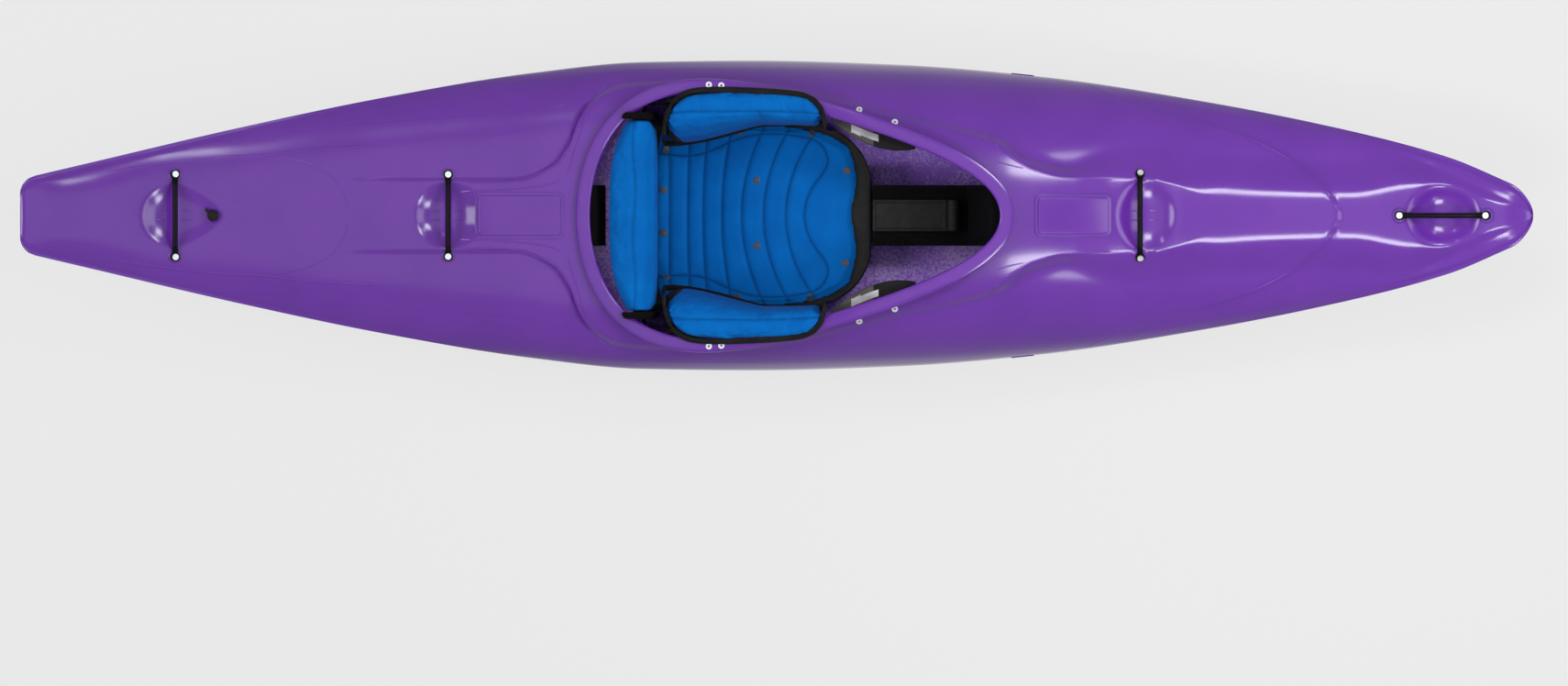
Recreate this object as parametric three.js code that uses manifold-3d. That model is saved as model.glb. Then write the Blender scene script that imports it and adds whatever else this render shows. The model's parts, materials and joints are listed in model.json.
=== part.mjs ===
// Whitewater kayak with a long thin stern, a flat planing bottom and an outfitted cockpit.
// Millimetres. X runs to the bow, Y to the paddler's left, Z up. The origin lies under the
// middle of the boat, on its centre plane, at its lowest point.
import * as THREE from 'three';
import { mergeVertices } from 'three/addons/utils/BufferGeometryUtils.js';
import Module from 'manifold-3d';

const wasm = await Module();
wasm.setup();

// Driving dimensions of the hull.
const length = 3150;
const beam = 645;
const height = 400;
const wall = 5;
const chineHeight = 38;
const keelFlatShare = 0.35;
const tailCorner = 29;
const bowRound = 45;
const edgeRound = 14;
const platformHeight = 22;
const platformRamp = 60;
const seatGap = 0.3;
const runGap = 1.5;
const overrun = 60;

// Cockpit coaming.
const cockpitLength = 853;
const cockpitWidth = 516;
const cockpitMiddle = 38;
const cockpitFront = cockpitMiddle + cockpitLength / 2;
const cockpitRear = cockpitMiddle - cockpitLength / 2;
const lipWidth = 30;
const lipDepth = 23;
const lipWall = 5;
const lipGap = 4;
const riserWall = 6;
const sunkShare = 0.6;
const lipTurnShare = 1.4;

// Grab loops and their bolts.
const boltSpacing = 170;
const bowBoltSpacing = 181;
const loopBar = 11;
const loopRise = 11;
const rearLoopRise = 13;
const bowLoopRise = 24;
const loopThickShare = 0.8;
const loopPower = 0.4;
const loopRouteShares = [0.03, 0.1, 0.25, 0.5, 0.75, 0.9, 0.97];
const eyeletDiameter = 20;
const eyeletThickness = 6;
const bossRise = 1.5;
const bossMargin = 3.5;
const spotDepth = 0.8;
const boltHead = 13;
const boltHeadHeight = 4.5;
const boltHeadShares = [[1, 0], [1, 0.4], [0.62, 0.9], [0, 1]];
const boltShank = 6;
const loopBoltLength = 20;
const holeGap = 0.5;
const sternLoopX = 322 - length / 2;
const rearLoopX = cockpitRear - 295.5;
const frontLoopX = cockpitFront + 291.5;
const bowLoopX = length / 2 - 188;

// Grip dishes under the loops, and the raised pads beside them.
const sternDish = { x: sternLoopX + 3, halfLength: 70, halfWidth: 68, depth: 14 };
const rearDish = { x: rearLoopX, halfLength: 69, halfWidth: 69, depth: 18 };
const frontDish = { x: frontLoopX + 16, halfLength: 60, halfWidth: 74, depth: 18 };
const bowDish = { x: bowLoopX + 1, halfLength: 73, halfWidth: 63, depth: 20 };
const frontPad = { x: frontLoopX - 139, length: 149, width: 76 };
const rearPad = { x: rearLoopX + 149, length: 172, width: 84 };
const padRise = 5;
const padCorner = 8;

// Drain plug.
const drainX = sternLoopX + 79;
const drainFlange = 24;
const drainFlangeHeight = 2.5;
const drainSleeve = 19;
const drainBore = 14;
const drainLength = 16;
const plugHead = 20;
const plugHeadHeight = 5;
const plugThread = 12.5;
const plugLength = 17;
const plugGripShare = 0.8;
const sealSection = 2.2;

// Foam pillars and the moulded beam.
const pillarWidth = 126;
const footPlateX = cockpitFront + 235.5;
const frontPillarLow = 120;
const footNotchStart = footPlateX - 88;
const footNotchEnd = footPlateX + 158;
const frontPillarEnd = footNotchEnd + 152;
const footNotchHeight = height * 0.575;
const consoleWidth = 66;
const consoleThickness = 7;
const consoleLength = 168;
const consoleRoll = 14;
const rearPillarEnd = cockpitRear + 32.5;
const rearPillarStart = sternLoopX + 313;
const rearPillarLow = 196;
const rearPillarRise = rearPillarEnd - 56;

// Seat, its cover and the hip pads.
const seatRear = cockpitRear + 126.5;
const seatLengthShare = 0.53224;
const seatFront = seatRear + cockpitLength * seatLengthShare;
const seatHalfWidth = 200;
const seatNose = 60;
const seatThickness = 4;
const seatRearHeight = 46;
const seatFrontHeight = 92;
const seatSideRise = 62;
const seatSlopePower = 1.6;
const seatSidePower = 3.5;
const coverRear = seatRear + 16;
const coverFront = seatFront - 26;
const coverMargin = 7;
const coverThickness = 13;
const coverChannels = 8;
const channelDepth = 4;
const coverEdgeShare = 0.8;
const coverEndShare = 0.2;
const coverEndSlope = 12;
const wingRear = seatRear + 34;
const wingLengthShare = 0.29543;
const wingFront = wingRear + cockpitLength * wingLengthShare;
const wingY = 236;
const wingHalfHeight = 138;
const wingThickness = 4;
const flangeReach = 54;
const hipPadRear = seatRear + 28;
const hipPadLengthShare = 0.39156;
const hipPadFront = hipPadRear + cockpitLength * hipPadLengthShare;
const hipPadRise = 26;
const hipPadOverlap = 15;
const hipPadInner = 158;
const hipPadBack = 13;
const hipPadEndShare = 0.12;
const hipPadTaperShares = [0.5, 0.6];
const hipPadFoldShares = [0.2, 0.55, 0.8];
const hipPadBellyShare = 0.435;
const rimBoltX = wingRear + 100;
const rimBoltPitch = 26;
const rimBoltOffset = 17;
const rimBoltLength = 52;

// Where the front pillar starts and rises, ahead of the seat.
const frontPillarStart = seatFront + 8;
const frontPillarKnee = frontPillarStart + 196;
const frontPillarRise = frontPillarKnee + 56;

// Backband.
const bandHalfWidth = 212;
const bandBottom = 134;
const bandTop = 328;
const bandFrontX = seatRear + 12;
const bandRearX = bandFrontX - 94;
const bandPlate = 4;
const bandBendPower = 2.5;
const bandThinShare = 0.62;
const pivotX = seatRear + 54;
const pivotZ = 160;
const bandArmWidth = 30;
const bandArmGap = 1;
const pivotPin = 6;

// Thigh braces.
const braceRearShare = 0.41325;
const braceRear = cockpitFront - cockpitLength * braceRearShare;
const braceLengthShare = 0.20868;
const braceFront = braceRear + cockpitLength * braceLengthShare;
const braceReach = 34;
const braceBulge = 26;
const braceThickness = 5;
const bracePadThickness = 12;
const braceBoltShare = 0.545;
const braceBoltX = braceRear + (braceFront - braceRear) * braceBoltShare;
const braceBoltPitch = 74;
const braceBoltOffset = 20;
const braceTravel = 12;
const braceBulgePower = 0.8;

// Foot brace.
const footPlateThickness = 6;
const footPadThickness = 20;
const footPadMargin = 9;
const footTopHeight = height * 0.66;
const footSlotHeight = height * 0.595;
const footSlotGap = 5;
const footBoltX = footPlateX - 188;
const footBoltZ = height * 0.3875;
const footRailShare = 0.3442;
const footRailY = beam * footRailShare;
const footRailThickness = 4;
const footRailHeight = 24;
const footForward = 70;
const footBack = 50;
const footSlotMargin = 18;
const footSleeve = 16;
const recessLength = 44;
const recessHeight = 34;
const recessDepth = 1.5;
const roundSides = 6;
const discSides = 8;
const dishSides = 14;

// Sections of the hull as shares of its length from the stern, closer where its form turns.
const stations = [
  0, 0.003, 0.01, 0.03, 0.06, 0.1, 0.14, 0.18, 0.22, 0.26, 0.295, 0.325, 0.345, 0.357, 0.368, 0.385, 0.41,
  0.44, 0.467, 0.497, 0.535, 0.565, 0.59, 0.615, 0.64, 0.6655, 0.685, 0.705, 0.735, 0.775, 0.815, 0.855,
  0.89, 0.915, 0.935, 0.952, 0.968, 0.981, 0.991, 0.997, 1,
];

// Shares along the hull from the stern, each with its share of the half beam, of the height or of
// the named size that the function below multiplies it by.
const beamShares = [
  [0, 0.235], [0.047, 0.343], [0.144, 0.565], [0.241, 0.763], [0.338, 0.92], [0.411, 0.991], [0.484, 1],
  [0.581, 0.973], [0.678, 0.893], [0.775, 0.749], [0.872, 0.562], [0.944, 0.376], [0.981, 0.225], [1, 0.14],
];
const deckShares = [
  [0, 0.92], [0.023, 0.9], [0.046, 0.862], [0.093, 0.768], [0.141, 0.709], [0.213, 0.661], [0.285, 0.655],
  [0.358, 0.673], [0.394, 0.69], [0.455, 0.745], [0.502, 0.818], [0.561, 0.902], [0.604, 0.92],
  [0.646, 0.915], [0.672, 0.9], [0.696, 0.867], [0.721, 0.823], [0.742, 0.8], [0.766, 0.785],
  [0.791, 0.77], [0.84, 0.75], [0.892, 0.746], [0.932, 0.75], [0.956, 0.777], [0.969, 0.802],
  [0.981, 0.814], [1, 0.8],
];
const keelShares = [
  [0, 0.9], [0.046, 0.761], [0.093, 0.637], [0.141, 0.517], [0.189, 0.407], [0.236, 0.302], [0.285, 0.208],
  [0.334, 0.131], [0.382, 0.079], [0.43, 0.045], [0.467, 0.018], [0.497, 0], [0.6655, 0],
  [0.69, 0.012], [0.718, 0.034], [0.767, 0.066], [0.817, 0.122], [0.867, 0.213], [0.916, 0.341],
  [0.942, 0.437], [0.968, 0.556], [0.988, 0.675], [1, 0.77],
];
const gunwaleShares = [
  [0, 0.908], [0.093, 0.718], [0.152, 0.622], [0.226, 0.551], [0.289, 0.494], [0.338, 0.446], [0.373, 0.422],
  [0.447, 0.395], [0.532, 0.388], [0.623, 0.4], [0.744, 0.45], [0.828, 0.502], [0.872, 0.545],
  [0.929, 0.65], [0.987, 0.77], [1, 0.79],
];
const chineRiseShares = [
  [0, 0.03], [0.047, 0.1], [0.138, 0.32], [0.229, 0.6], [0.29, 0.84], [0.35, 0.92], [0.47, 1], [0.6, 1],
  [0.714, 0.95], [0.811, 0.82], [0.89, 0.53], [0.95, 0.32], [1, 0.05],
];
const chineWidthShares = [
  [0, 0.8], [0.14, 0.78], [0.29, 0.78], [0.47, 0.8], [0.6, 0.8], [0.714, 0.76], [0.811, 0.7], [0.89, 0.6],
  [0.95, 0.5], [1, 0.4],
];
const deckFullnessShares = [
  [0, 2], [0.14, 2.2], [0.29, 3], [0.41, 4.5], [0.47, 5], [0.53, 4], [0.57, 3.2], [0.62, 2.6], [0.68, 2.2],
  [0.77, 2], [1, 2],
];
const edgeShares = [[0, 0.9], [0.2, 0.8], [0.3, 0.65], [0.4, 0.5], [0.7, 0.5], [0.85, 0.6], [1, 0.6]];
const platformWidthShares = [
  [0, 0.2], [0.247, 0.214], [0.328, 0.214], [0.353, 0.313], [0.362, 0.434], [0.372, 0.66], [0.397, 0.81],
  [0.42, 0.83], [0.47, 0.83], [0.53, 0.74], [0.585, 0.6], [0.647, 0.443], [0.669, 0.3], [0.693, 0.242],
  [0.735, 0.23], [0.775, 0.143], [0.8, 0.118], [0.88, 0.118], [0.926, 0.17], [0.95, 0.14], [0.981, 0.06],
  [1, 0.03],
];
const platformRiseShares = [
  [0, 0], [0.2, 0], [0.26, 0.2], [0.33, 0.35], [0.38, 0.5], [0.42, 0.35], [0.5, 0.3], [0.6, 0.5], [0.66, 0.9],
  [0.7, 1], [0.9, 1], [0.93, 0.8], [0.97, 0.2], [1, 0],
];
const platformRampShares = [
  [0, 0.3], [0.33, 0.2], [0.4, 0.25], [0.6, 0.35], [0.7, 0.45], [0.74, 0.6], [0.8, 1], [0.9, 1], [0.94, 0.8],
  [1, 0.1],
];
// Rim top along the cockpit, from its rear edge, as shares of the height.
const rimShares = [
  [0, 0.709], [0.17, 0.718], [0.31, 0.757], [0.42, 0.81], [0.57, 0.88], [0.67, 0.925], [0.77, 0.955],
  [0.88, 0.99], [1, 1],
];
// The opening is a circle drawn out to an egg: its half width is the sine times this square.
const eggShares = [0.872, -0.435, 0.2];
// Half of the foot plate's outline from its bottom, as shares of its half width and of its height.
const footHalfShare = 0.3597;
const footHalfWidth = beam * footHalfShare;
const footBottomHeight = height / 5;
const footOutlineShares = [
  [0.71, 0], [0.88, 0.16], [0.98, 0.4], [1, 0.58], [0.86, 0.78], [0.56, 0.95], [0.48, 1],
];
// Section of the backband from its front bottom over the ridge, as shares of its depth and height.
const bandFrontShares = [[0.02, 0], [-0.04, 0.35], [0.1, 0.75], [0.3, 0.94], [0.5, 1]];
const bandPlateShares = [[0.4, 0], [0.78, 0.38], [0.94, 0.577]];
const bandPlateReachShare = 0.98;
const bandArmRootShare = 0.93;
const bandArmShares = [[0.46, 0.06], [0.61, 0.21]];
const bandRearShares = [[0.4, 0], [0.78, 0.38], [1, 0.68], [0.9, 0.88], [0.62, 0.99]];

// Shares of each band of a hull section where its points lie, from the keel to the deck's middle.
const bottomBandShares = [0, keelFlatShare, 0.7, 1];
const sideBandShares = [0.22, 0.58, 1];
const shoulderBandShares = [0.93, 0.76, 0.52, 0.25, 0];
const rampBandShares = [0.5, 0];
const platformInnerShare = 0.6;
const platformFootShare = 0.95;
const rampFootShare = 0.97;
const bottomCurvePower = 2.2;
const sideCurvePower = 1.8;

// Smooth curve through rows of [share, value] that never overshoots between two rows.
function curveThrough(rows) {
  const slopes = rows.slice(1).map((row, i) => (row[1] - rows[i][1]) / (row[0] - rows[i][0]));
  const tangents = rows.map((row, i) => {
    if (i === 0) return slopes[0];
    if (i === rows.length - 1) return slopes[i - 1];
    const [before, after] = [slopes[i - 1], slopes[i]];
    return before * after <= 0 ? 0 : (2 * before * after) / (before + after);
  });
  return (at) => {
    let i = 0;
    while (i < rows.length - 2 && at > rows[i + 1][0]) i += 1;
    const span = rows[i + 1][0] - rows[i][0];
    const t = THREE.MathUtils.clamp((at - rows[i][0]) / span, 0, 1);
    const ease = t * t * (3 - 2 * t);
    const leave = tangents[i] * span * t * (1 - t) * (1 - t);
    const arrive = tangents[i + 1] * span * t * t * (1 - t);
    return rows[i][1] + (rows[i + 1][1] - rows[i][1]) * ease + leave - arrive;
  };
}

const hullCurves = {
  beam: curveThrough(beamShares),
  deck: curveThrough(deckShares),
  keel: curveThrough(keelShares),
  gunwale: curveThrough(gunwaleShares),
  chineRise: curveThrough(chineRiseShares),
  chineWidth: curveThrough(chineWidthShares),
  fullness: curveThrough(deckFullnessShares),
  edge: curveThrough(edgeShares),
  platformWidth: curveThrough(platformWidthShares),
  platformRise: curveThrough(platformRiseShares),
  platformRamp: curveThrough(platformRampShares),
};

// How far a rounded end has closed at a distance from its tip: 0 at the tip, 1 past the radius.
function endRound(distance, radius) {
  const left = Math.max(0, 1 - distance / radius);
  return Math.sqrt(Math.max(0, 1 - left * left));
}

// The named sizes of the hull's section at a place along X.
function sectionAt(x) {
  const share = THREE.MathUtils.clamp(x / length + 1 / 2, 0, 1);
  const fromStern = share * length;
  const fromBow = length - fromStern;
  const tailCut = tailCorner * (1 - endRound(fromStern, tailCorner));
  const halfBeam = (hullCurves.beam(share) * beam) / 2 - tailCut;
  const close = endRound(Math.min(fromStern, fromBow) + seatGap, edgeRound);
  const gunwale = hullCurves.gunwale(share) * height;
  const keel = gunwale + (hullCurves.keel(share) * height - gunwale) * close;
  const deck = gunwale + (hullCurves.deck(share) * height - gunwale) * close;
  const rise = Math.min(hullCurves.platformRise(share) * platformHeight, (deck - gunwale) / 2);
  const narrow = endRound(fromBow + seatGap, bowRound);
  return {
    halfBeam: halfBeam * narrow,
    gunwale,
    keel,
    deck,
    rise,
    chine: hullCurves.chineWidth(share) * halfBeam * narrow,
    chineRise: hullCurves.chineRise(share) * chineHeight * close,
    fullness: hullCurves.fullness(share),
    edge: hullCurves.edge(share),
    platform: (hullCurves.platformWidth(share) * beam * narrow) / 2,
    ramp: hullCurves.platformRamp(share) * platformRamp * narrow,
  };
}

// Height of the deck's outer face at a distance from the centre plane.
function deckHeight(section, y) {
  const across = Math.min(1, Math.abs(y) / section.halfBeam);
  const dome = (1 - across ** section.fullness) ** section.edge;
  const step = 1 - THREE.MathUtils.smoothstep(Math.abs(y), section.platform, section.platform + section.ramp);
  return section.gunwale + (section.deck - section.rise - section.gunwale) * dome + section.rise * step;
}

// Half of a section's outline from the keel over the chine and the gunwale to the deck's middle.
function halfOutline(section) {
  const { halfBeam, chine, chineRise, keel, gunwale } = section;
  const points = bottomBandShares.map((v) => {
    const lift = Math.max(0, (v - keelFlatShare) / (1 - keelFlatShare)) ** bottomCurvePower;
    return [chine * v, keel + chineRise * lift];
  });
  sideBandShares.forEach((w) => {
    const out = 1 - (1 - w) ** sideCurvePower;
    const chineZ = keel + chineRise;
    points.push([chine + (halfBeam - chine) * out, chineZ + (gunwale - chineZ) * w]);
  });
  const foot = Math.min(section.platform + section.ramp, halfBeam * rampFootShare);
  shoulderBandShares.forEach((u) => {
    const y = foot + (halfBeam - foot) * u;
    points.push([y, deckHeight(section, y)]);
  });
  const platform = Math.min(section.platform, foot * platformFootShare);
  const inner = rampBandShares.map((u) => platform + (foot - platform) * u);
  [...inner, platform * platformInnerShare, 0].forEach((y) => points.push([y, deckHeight(section, y)]));
  return points;
}

// A closed ring of [y, z], counter-clockwise seen from the bow.
function sectionRing(x) {
  const half = halfOutline(sectionAt(x));
  const mirrored = half.slice(1, -1).reverse().map(([y, z]) => [-y, z]);
  return [...half, ...mirrored];
}

// The same ring moved inwards by a wall, point by point along the section's normal.
function insetRing(ring, inset) {
  return ring.map(([y, z], i) => {
    const [beforeY, beforeZ] = ring[(i + ring.length - 1) % ring.length];
    const [afterY, afterZ] = ring[(i + 1) % ring.length];
    const first = new THREE.Vector2(y - beforeY, z - beforeZ).normalize();
    const second = new THREE.Vector2(afterY - y, afterZ - z).normalize();
    const along = first.clone().add(second).normalize();
    const spread = Math.max(first.dot(along), 1 / 2);
    return [y - (along.y * inset) / spread, z + (along.x * inset) / spread];
  });
}

// A closed solid through rings of points, joined end to end or closed with a strip at each end.
function loftSolid(rings, closed = false) {
  const count = rings[0].length;
  const index = [];
  const spans = closed ? rings.length : rings.length - 1;
  for (let i = 0; i < spans; i += 1) {
    const next = (i + 1) % rings.length;
    for (let j = 0; j < count; j += 1) {
      const [a, b] = [i * count + j, i * count + ((j + 1) % count)];
      const [c, d] = [next * count + j, next * count + ((j + 1) % count)];
      index.push(a, c, b, b, c, d);
    }
  }
  const last = (rings.length - 1) * count;
  for (let j = 0; j < count / 2 - 1 && !closed; j += 1) {
    const [a, b, c, d] = [j, j + 1, count - 2 - j, count - 1 - j];
    index.push(a, b, c, a, c, d);
    index.push(last + a, last + c, last + b, last + a, last + d, last + c);
  }
  const geometry = new THREE.BufferGeometry().setFromPoints(rings.flat());
  geometry.setIndex(index);
  return solidOf(geometry);
}

// A manifold solid from a closed geometry, and a geometry from a solid.
function solidOf(geometry) {
  const bare = geometry.clone();
  bare.deleteAttribute('normal');
  bare.deleteAttribute('uv');
  const merged = mergeVertices(bare, 1e-4);
  const vertProperties = new Float32Array(merged.attributes.position.array);
  const triVerts = new Uint32Array(merged.index.array);
  const solid = new wasm.Manifold(new wasm.Mesh({ numProp: 3, vertProperties, triVerts }));
  if (solid.volume() > 0) return solid;
  for (let i = 0; i < triVerts.length; i += 3) {
    [triVerts[i], triVerts[i + 1]] = [triVerts[i + 1], triVerts[i]];
  }
  return new wasm.Manifold(new wasm.Mesh({ numProp: 3, vertProperties, triVerts }));
}

function geometryOf(solid) {
  const mesh = solid.getMesh();
  const geometry = new THREE.BufferGeometry();
  geometry.setAttribute('position', new THREE.Float32BufferAttribute(mesh.vertProperties, 3));
  geometry.setIndex(new THREE.Uint32BufferAttribute(mesh.triVerts, 1));
  geometry.computeVertexNormals();
  return geometry;
}

// A solid from a standard geometry, moved and turned by a matrix.
function placed(geometry, matrix) {
  return solidOf(geometry.clone().applyMatrix4(matrix));
}

// The matrix that stands a shape's Z axis along a direction at a point, its X kept in line.
function frameAt(point, up, forward = new THREE.Vector3(1, 0, 0)) {
  const z = up.clone().normalize();
  const y = new THREE.Vector3().crossVectors(z, forward).normalize();
  const x = new THREE.Vector3().crossVectors(y, z);
  return new THREE.Matrix4().makeBasis(x, y, z).setPosition(point);
}

// The deck's outer face at a place: its point and its outward normal.
function deckPoint(x, y) {
  return new THREE.Vector3(x, y, deckHeight(sectionAt(x), y));
}

function deckNormal(x, y) {
  const reach = wall;
  const fore = deckPoint(x + reach, y).sub(deckPoint(x - reach, y));
  const side = deckPoint(x, y + reach).sub(deckPoint(x, y - reach));
  return fore.cross(side).normalize();
}

const hullRings = stations.map((share) => {
  const x = (share - 1 / 2) * length;
  return { x, ring: sectionRing(x) };
});

// The hull's outer skin, or the same skin moved inwards, closed short of the ends.
function hullSkin(inset) {
  const kept = hullRings.filter(({ ring }) => {
    const heights = ring.map((p) => p[1]);
    return inset === 0 || Math.max(...heights) - Math.min(...heights) > 4 * wall;
  });
  return loftSolid(kept.map(({ x, ring }) => {
    const points = inset === 0 ? ring : insetRing(ring, inset);
    return points.map(([y, z]) => new THREE.Vector3(x, y, z));
  }));
}

// How the opening's width departs from a circle at a cosine from the front.
function egg(c) {
  return eggShares[0] + eggShares[1] * c + eggShares[2] * c * c;
}

// Half width of the cockpit opening at a place along X.
function openingHalfWidth(x) {
  const c = THREE.MathUtils.clamp((x - cockpitMiddle) / (cockpitLength / 2), -1, 1);
  return (cockpitWidth / 2) * Math.sqrt(1 - c * c) * egg(c);
}

// A point of the cockpit opening, moved outwards in plan, at an angle from the front.
function openingPoint(angle, offset) {
  const plain = (turn) => {
    const c = Math.cos(turn);
    return new THREE.Vector2((cockpitLength / 2) * c, (cockpitWidth / 2) * Math.sin(turn) * egg(c));
  };
  const step = Math.PI / 720;
  const along = plain(angle + step).sub(plain(angle - step)).normalize();
  const at = plain(angle);
  return new THREE.Vector2(cockpitMiddle + at.x + along.y * offset, at.y - along.x * offset);
}

const rimCurve = curveThrough(rimShares);

function rimHeight(x) {
  return rimCurve((x - cockpitMiddle) / cockpitLength + 1 / 2) * height;
}

const coamingSteps = 36;

function coamingAngles() {
  return Array.from({ length: coamingSteps }, (_, i) => (i * 2 * Math.PI) / coamingSteps);
}

// Riser and lip of the coaming, swept round the opening, with the lip's outer edge turned down.
function coaming() {
  const rings = coamingAngles().map((angle) => {
    const inner = openingPoint(angle, 0);
    const top = rimHeight(inner.x);
    const deckAt = (offset) => {
      const p = openingPoint(angle, offset);
      return deckHeight(sectionAt(p.x), p.y);
    };
    const room = top - Math.max(deckAt(lipWidth), deckAt(lipWidth - lipWall)) - lipGap;
    const depth = THREE.MathUtils.clamp(room, lipWall * 2, lipDepth);
    const profile = [
      [0, deckAt(0) - wall * sunkShare],
      [0, top - lipWall / 2],
      [lipWall / 3, top],
      [lipWidth - lipWall, top],
      [lipWidth - lipWall / 4, top - lipWall / 2],
      [lipWidth, top - lipWall * lipTurnShare],
      [lipWidth, top - depth],
      [lipWidth - lipWall, top - depth],
      [lipWidth - lipWall, top - lipWall],
      [riserWall, top - lipWall],
      [riserWall, deckAt(riserWall) - wall * sunkShare],
    ];
    return profile.map(([offset, z]) => {
      const p = openingPoint(angle, offset);
      return new THREE.Vector3(p.x, p.y, z);
    });
  });
  return loftSolid(rings, true);
}

function openingCutter() {
  const at = (z) => coamingAngles().map((angle) => {
    const p = openingPoint(angle, riserWall / 4);
    return new THREE.Vector3(p.x, p.y, z);
  });
  return loftSolid([at(height / 3), at(height + overrun)]);
}

// A dish for the fingers: the lower half of an ellipsoid laid in the deck, grown by a margin.
function dishSolid(dish, margin) {
  const size = new THREE.Vector3(dish.halfLength, dish.halfWidth, dish.depth).addScalar(margin);
  const ball = new THREE.SphereGeometry(1, dishSides, dishSides / 2);
  ball.rotateX(Math.PI / 2).scale(size.x, size.y, size.z);
  return placed(ball, frameAt(deckPoint(dish.x, 0), deckNormal(dish.x, 0)));
}

// A plate with round corners, standing from a depth below its plane to a height above it.
function platePrism(plateLength, plateWidth, corner, below, above) {
  const [halfX, halfY] = [plateLength / 2 - corner, plateWidth / 2 - corner];
  const shape = new THREE.Shape();
  shape.absarc(halfX, halfY, corner, 0, Math.PI / 2);
  shape.absarc(-halfX, halfY, corner, Math.PI / 2, Math.PI);
  shape.absarc(-halfX, -halfY, corner, Math.PI, Math.PI * 1.5);
  shape.absarc(halfX, -halfY, corner, Math.PI * 1.5, Math.PI * 2);
  const options = { depth: below + above, bevelEnabled: false, curveSegments: 3 };
  return new THREE.ExtrudeGeometry(shape, options).translate(0, 0, -below);
}

function deckPad(pad) {
  const frame = frameAt(deckPoint(pad.x, 0), deckNormal(pad.x, 0));
  return placed(platePrism(pad.length, pad.width, padCorner, wall * sunkShare, padRise), frame);
}

// A round bar along Z, from one height to another.
function roundBar(diameter, from, to, sides = roundSides) {
  const bar = new THREE.CylinderGeometry(diameter / 2, diameter / 2, to - from, sides);
  return bar.rotateX(Math.PI / 2).translate(0, 0, (from + to) / 2);
}

// A button-head bolt along Z whose head rests on the plane Z = 0.
function boltGeometry(shankLength) {
  const [head, shank] = [boltHead / 2, boltShank / 2];
  const crown = boltHeadShares.map(([out, up]) => [head * out, boltHeadHeight * up]);
  const outline = [[0, -shankLength], [shank, -shankLength], [shank, 0], ...crown];
  const points = outline.map(([r, z]) => new THREE.Vector2(r, z));
  return new THREE.LatheGeometry(points, roundSides).rotateX(Math.PI / 2);
}

// A ring round Z: outer and inner diameter, from one height to another.
function ringGeometry(outer, inner, from, to, sides = roundSides) {
  const corners = [[inner, from], [outer, from], [outer, to], [inner, to], [inner, from]];
  const points = corners.map(([d, z]) => new THREE.Vector2(d / 2, z));
  return new THREE.LatheGeometry(points, sides).rotateX(Math.PI / 2);
}

const group = new THREE.Group();

function addPiece(name, solid, colour, roughness, metalness = 0) {
  const material = new THREE.MeshStandardMaterial({ color: colour, roughness, metalness });
  const mesh = new THREE.Mesh(geometryOf(solid), material);
  mesh.name = name;
  group.add(mesh);
  return mesh;
}

const colours = {
  hull: '#6c419f', webbing: '#1d1d1c', steel: '#c9ccd0', foam: '#0b0a0b', plastic: '#282726',
  cloth: '#0057a6', binding: '#1c1c1c', brace: '#4e4d4a', rubber: '#141414', aluminium: '#a6a8ab',
};

function addBolt(name, frame, shankLength) {
  addPiece(name, placed(boltGeometry(shankLength), frame), colours.steel, 0.3, 1);
}

// Grab loops. Each end is an eyelet on a flat boss of the deck, with a bolt through it.
const loops = [
  { name: 'stern', x: sternLoopX, span: [0, boltSpacing], rise: loopRise, ends: ['right', 'left'] },
  { name: 'rear', x: rearLoopX, span: [0, boltSpacing], rise: rearLoopRise, ends: ['right', 'left'] },
  { name: 'front', x: frontLoopX, span: [0, boltSpacing], rise: loopRise, ends: ['right', 'left'] },
  { name: 'bow', x: bowLoopX, span: [bowBoltSpacing, 0], rise: bowLoopRise, ends: ['rear', 'front'] },
];

function loopEnds(loop) {
  return [-1, 1].map((side, i) => {
    const x = loop.x + (side * loop.span[0]) / 2;
    const y = (side * loop.span[1]) / 2;
    const frame = frameAt(deckPoint(x, y), deckNormal(x, y));
    return { name: loop.ends[i], frame, side };
  });
}

function shifted(frame, along) {
  return frame.clone().multiply(new THREE.Matrix4().makeTranslation(0, 0, along));
}

const bossTop = bossRise;
const eyeletBase = bossTop + seatGap;
const eyeletTop = eyeletBase + eyeletThickness;

function bossSolid(frame) {
  return placed(roundBar(eyeletDiameter + bossMargin * 2, -wall * sunkShare, bossTop, discSides), frame);
}

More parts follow.
